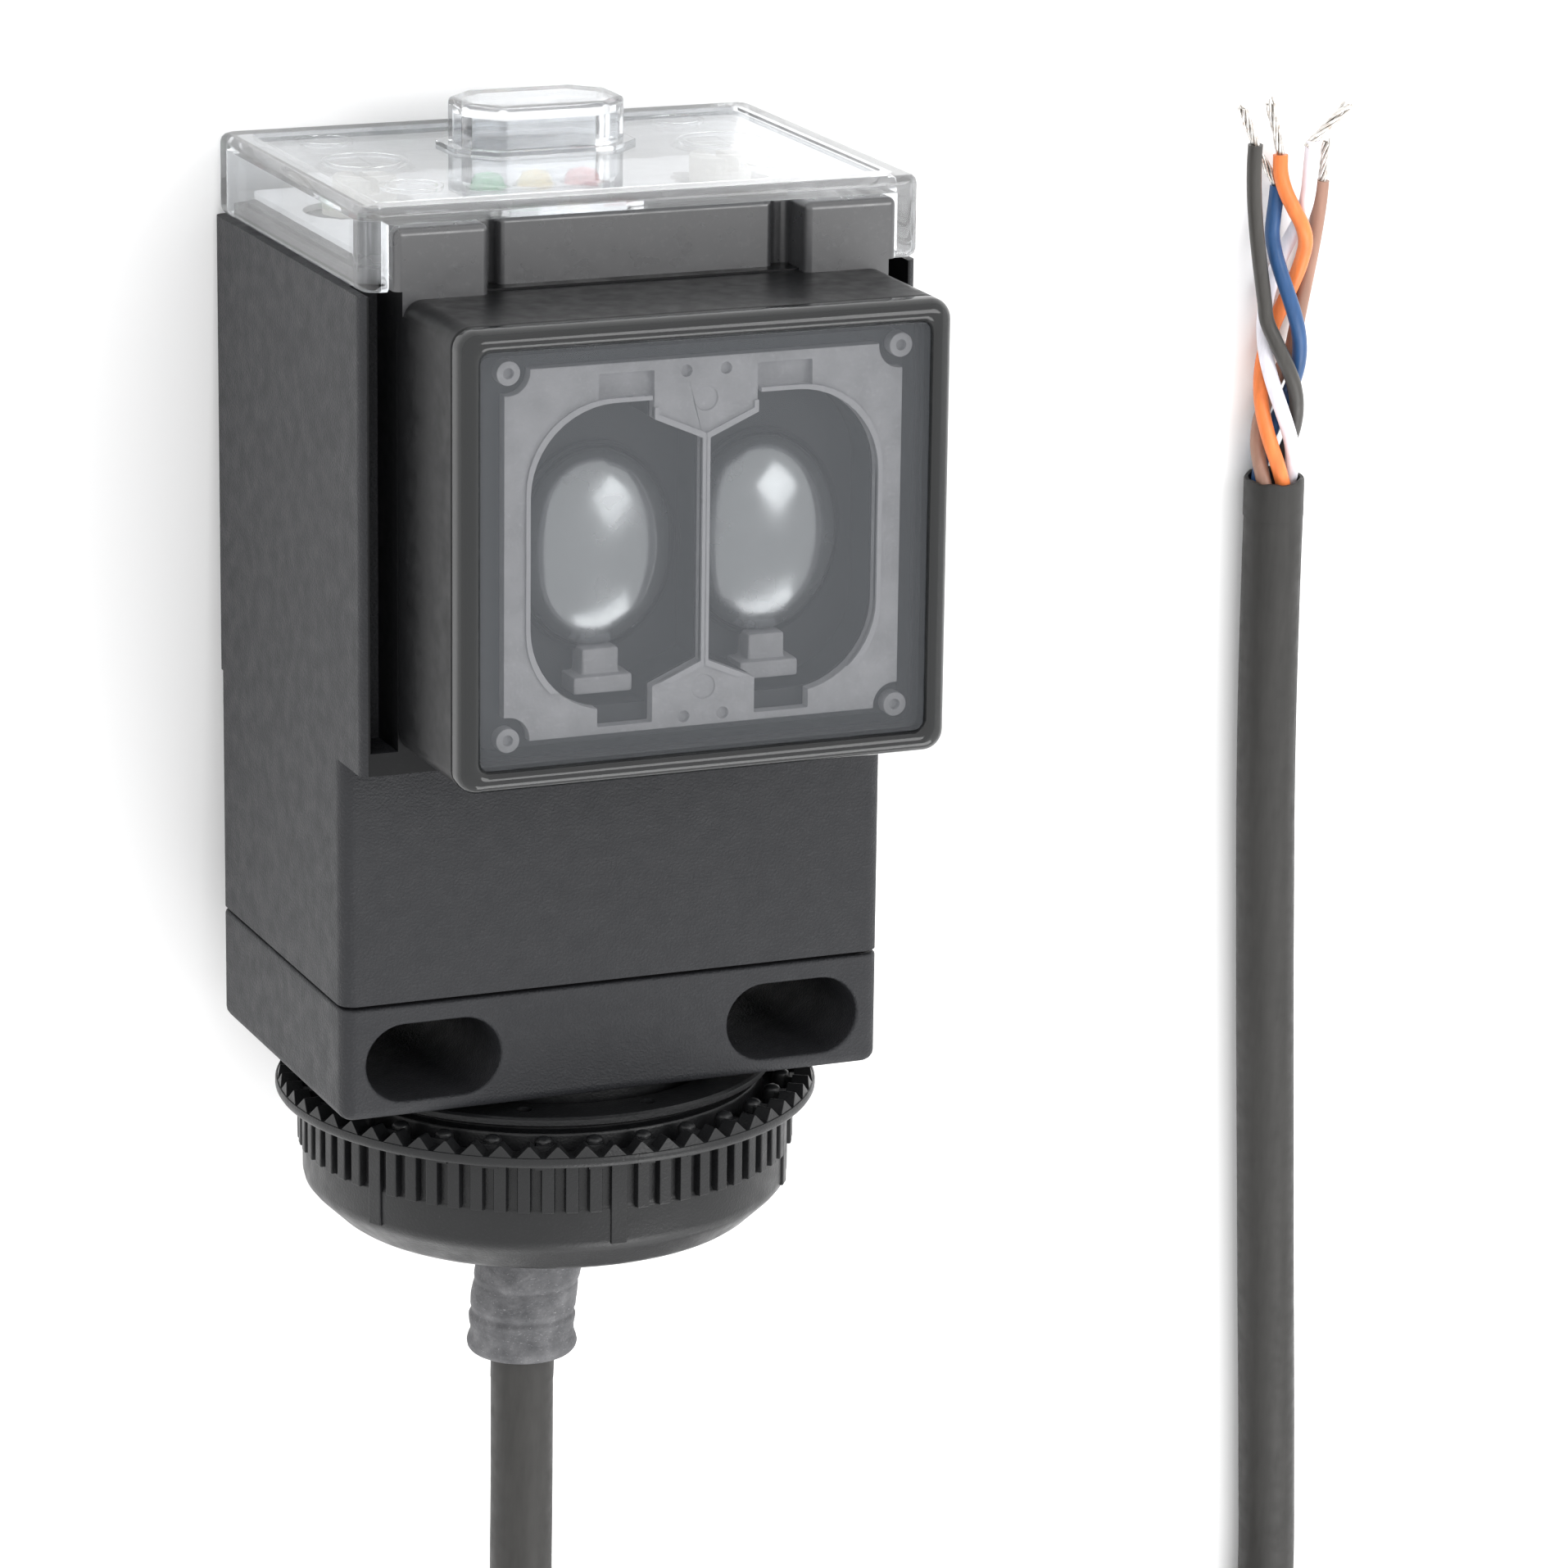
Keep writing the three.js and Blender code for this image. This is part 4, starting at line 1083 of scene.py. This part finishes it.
def add_posts(paint):
    """Round posts and the webs behind them, in the groove inside the teeth."""
    bm = bmesh.new()
    post = [(0.0, -2.1), (0.3, -2.14), (0.58, -2.28), (0.73, -2.5), (0.78, -4.7), (0.0, -4.7)]
    for index in range(POST_COUNT):
        turn = index * 360 / POST_COUNT
        centre = polar(19.35, turn + 3.0, 0)
        lathe(bm, post, 16, centre.x, centre.z)
        polar_block(bm, 19.3, 20.4, turn + 1.2, turn + 4.8, -4.6, -2.6)
    posts = new_object("nut_posts", bm)
    smooth(posts)
    finish_piece(posts, "ring_nut", paint["nut"])


def add_washer(paint):
    profile = [(14.9, -1.65), (18.3, -1.7), (18.5, -1.55), (18.5, -1.1), (18.3, -0.92), (14.9, -0.92)]
    washer = turned("washer_disc", profile, 144, Matrix.Identity(4))
    for index in range(PIT_COUNT):
        pit = polar(16.3, 9.5 + index * 360 / PIT_COUNT, 0)
        cut(washer, prism("pit", circle(pit.x, pit.z, 0.62, 20), -1.35, 0, "y"))
    smooth(washer)
    finish_piece(washer, "washer", paint["nut"], SENSOR, ["thrust_washer"])


RELIEF_SHAPE = [
    # level, radius: open lip, soft lip ring, crease, body, root flare
    (-27.0, 2.6), (-26.98, 3.4), (-26.9, 4.0), (-26.75, 4.3), (-26.5, 4.46), (-26.1, 4.54), (-25.7, 4.48),
    (-25.3, 4.36), (-24.8, 4.3), (-24.2, 4.35), (-23.8, 4.38), (-23.55, 4.28), (-23.4, 4.2), (-23.25, 4.27),
    (-22.9, 4.38), (-22.0, 4.4), (-21.2, 4.36), (-20.8, 4.28), (-20.4, 4.37), (-19.4, 4.4),
    (-18.4, 4.4), (-16.5, 4.44), (-14.5, 4.6), (-13, 5.2), (-11.8, 6.2), (-10.5, 7.2),
]


def relief_radius(y):
    for (low, low_radius), (high, high_radius) in zip(RELIEF_SHAPE, RELIEF_SHAPE[1:]):
        if y <= high:
            share = (y - low) / (high - low)
            return low_radius + (high_radius - low_radius) * share
    return RELIEF_SHAPE[-1][1]


def relief_sway(y):
    """How far the relief leans to the left at a level, as the cable pulls it."""
    return -RELIEF_SWAY * ease(-y, 8, 29)


def add_relief(paint):
    """The bend relief, made slightly wavy, with one faint mould seam."""
    rng = random.Random(11)
    waves = [(rng.uniform(0.6, 2.2), rng.uniform(0, math.tau), rng.randint(1, 4)) for _ in range(10)]
    bm = bmesh.new()
    segments = 72
    rings = []
    levels = [RELIEF_LIP + i * 0.1 for i in range(int((RELIEF_ROOT - RELIEF_LIP) / 0.1) + 1)]
    for y in levels:
        sway = relief_sway(y) - 0.35 * math.exp(-((y + 22) / 4) ** 2)
        ring = []
        for k in range(segments):
            angle = math.tau * k / segments
            wobble = sum(0.01 * math.sin(rate * y * 2 + count * angle + phase)
                         for rate, phase, count in waves)
            wobble *= ease(y, RELIEF_LIP, RELIEF_LIP + 0.4)
            seam = 0.06 * math.exp(-((math.degrees(angle) - 318) / 1.6) ** 2) * ease(y, -26, -25)
            radius = relief_radius(y) + wobble + seam
            ring.append(bm.verts.new((sway + radius * math.sin(angle), y, NOSE_Z + radius * math.cos(angle))))
        rings.append(ring)
    bridge(bm, rings)
    bm.faces.new(rings[0])
    bm.faces.new(rings[-1])
    relief = new_object("bend_relief", bm)
    smooth(relief, 60)
    finish_piece(relief, "housing", paint["relief"], nodes=["strain_relief"])


def add_sleeve(paint):
    """The short sleeve between the relief's lip and the cable, painted as cable."""
    bm = bmesh.new()
    loops = []
    for y, radius in ((RELIEF_END - 1.1, 2.3), (RELIEF_END - 1.1, 2.63), (-26.4, 2.66), (-26.4, 2.3)):
        sway = relief_sway(y)
        loops.append([bm.verts.new((sway + x, y, NOSE_Z + z)) for x, z in circle(0, 0, radius, 40)])
    bridge(bm, loops, closed=True)
    sleeve = new_object("relief_sleeve", bm)
    smooth(sleeve, 50)
    finish_piece(sleeve, "housing", paint["cable"])


def add_gland(paint):
    gland = turned("gland_plug", [(0, -11.4), (7.3, -11.4), (7.8, -11), (7.8, -8), (0, -8)], 72)
    smooth(gland)
    finish_piece(gland, "housing", paint["seal"], nodes=["gland_seal"])


# ---- CAD nodes that keep their shape get the same procedural materials ----
NODE_PAINT = {
    "emitter_led": "nylon", "receiver_photodiode": "package", "optics_board": "board", "main_board": "board",
    "control_chip": "package", "output_transistor_left": "package", "output_transistor_right": "package",
    "supply_capacitor": "package", "board_connector": "nylon", "indicator_board": "board",
    "indicator_green": "indicator_green", "indicator_yellow": "indicator_yellow",
    "indicator_red": "indicator_red",
    "sensitivity_pot_body": "package", "sensitivity_pot_rotor": "nylon", "mode_switch_body": "package",
    "mode_switch_rotor": "nylon", "control_panel": "panel", "cover_gasket": "seal", "inner_lead": "cable",
}


def paint_nodes(paint):
    for node, key in NODE_PAINT.items():
        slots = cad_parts[node].data.materials
        slots.clear()
        slots.append(paint[key])


add_camera()
add_stage()
materials = make_materials()
add_cable(materials)
add_housing(materials)
add_base(materials)
add_nose(materials)
add_window(materials)
add_optics(materials)
add_cover(materials)
add_nut(materials)
add_ribs(materials)
add_teeth(materials)
add_posts(materials)
add_washer(materials)
add_relief(materials)
add_sleeve(materials)
add_gland(materials)
paint_nodes(materials)
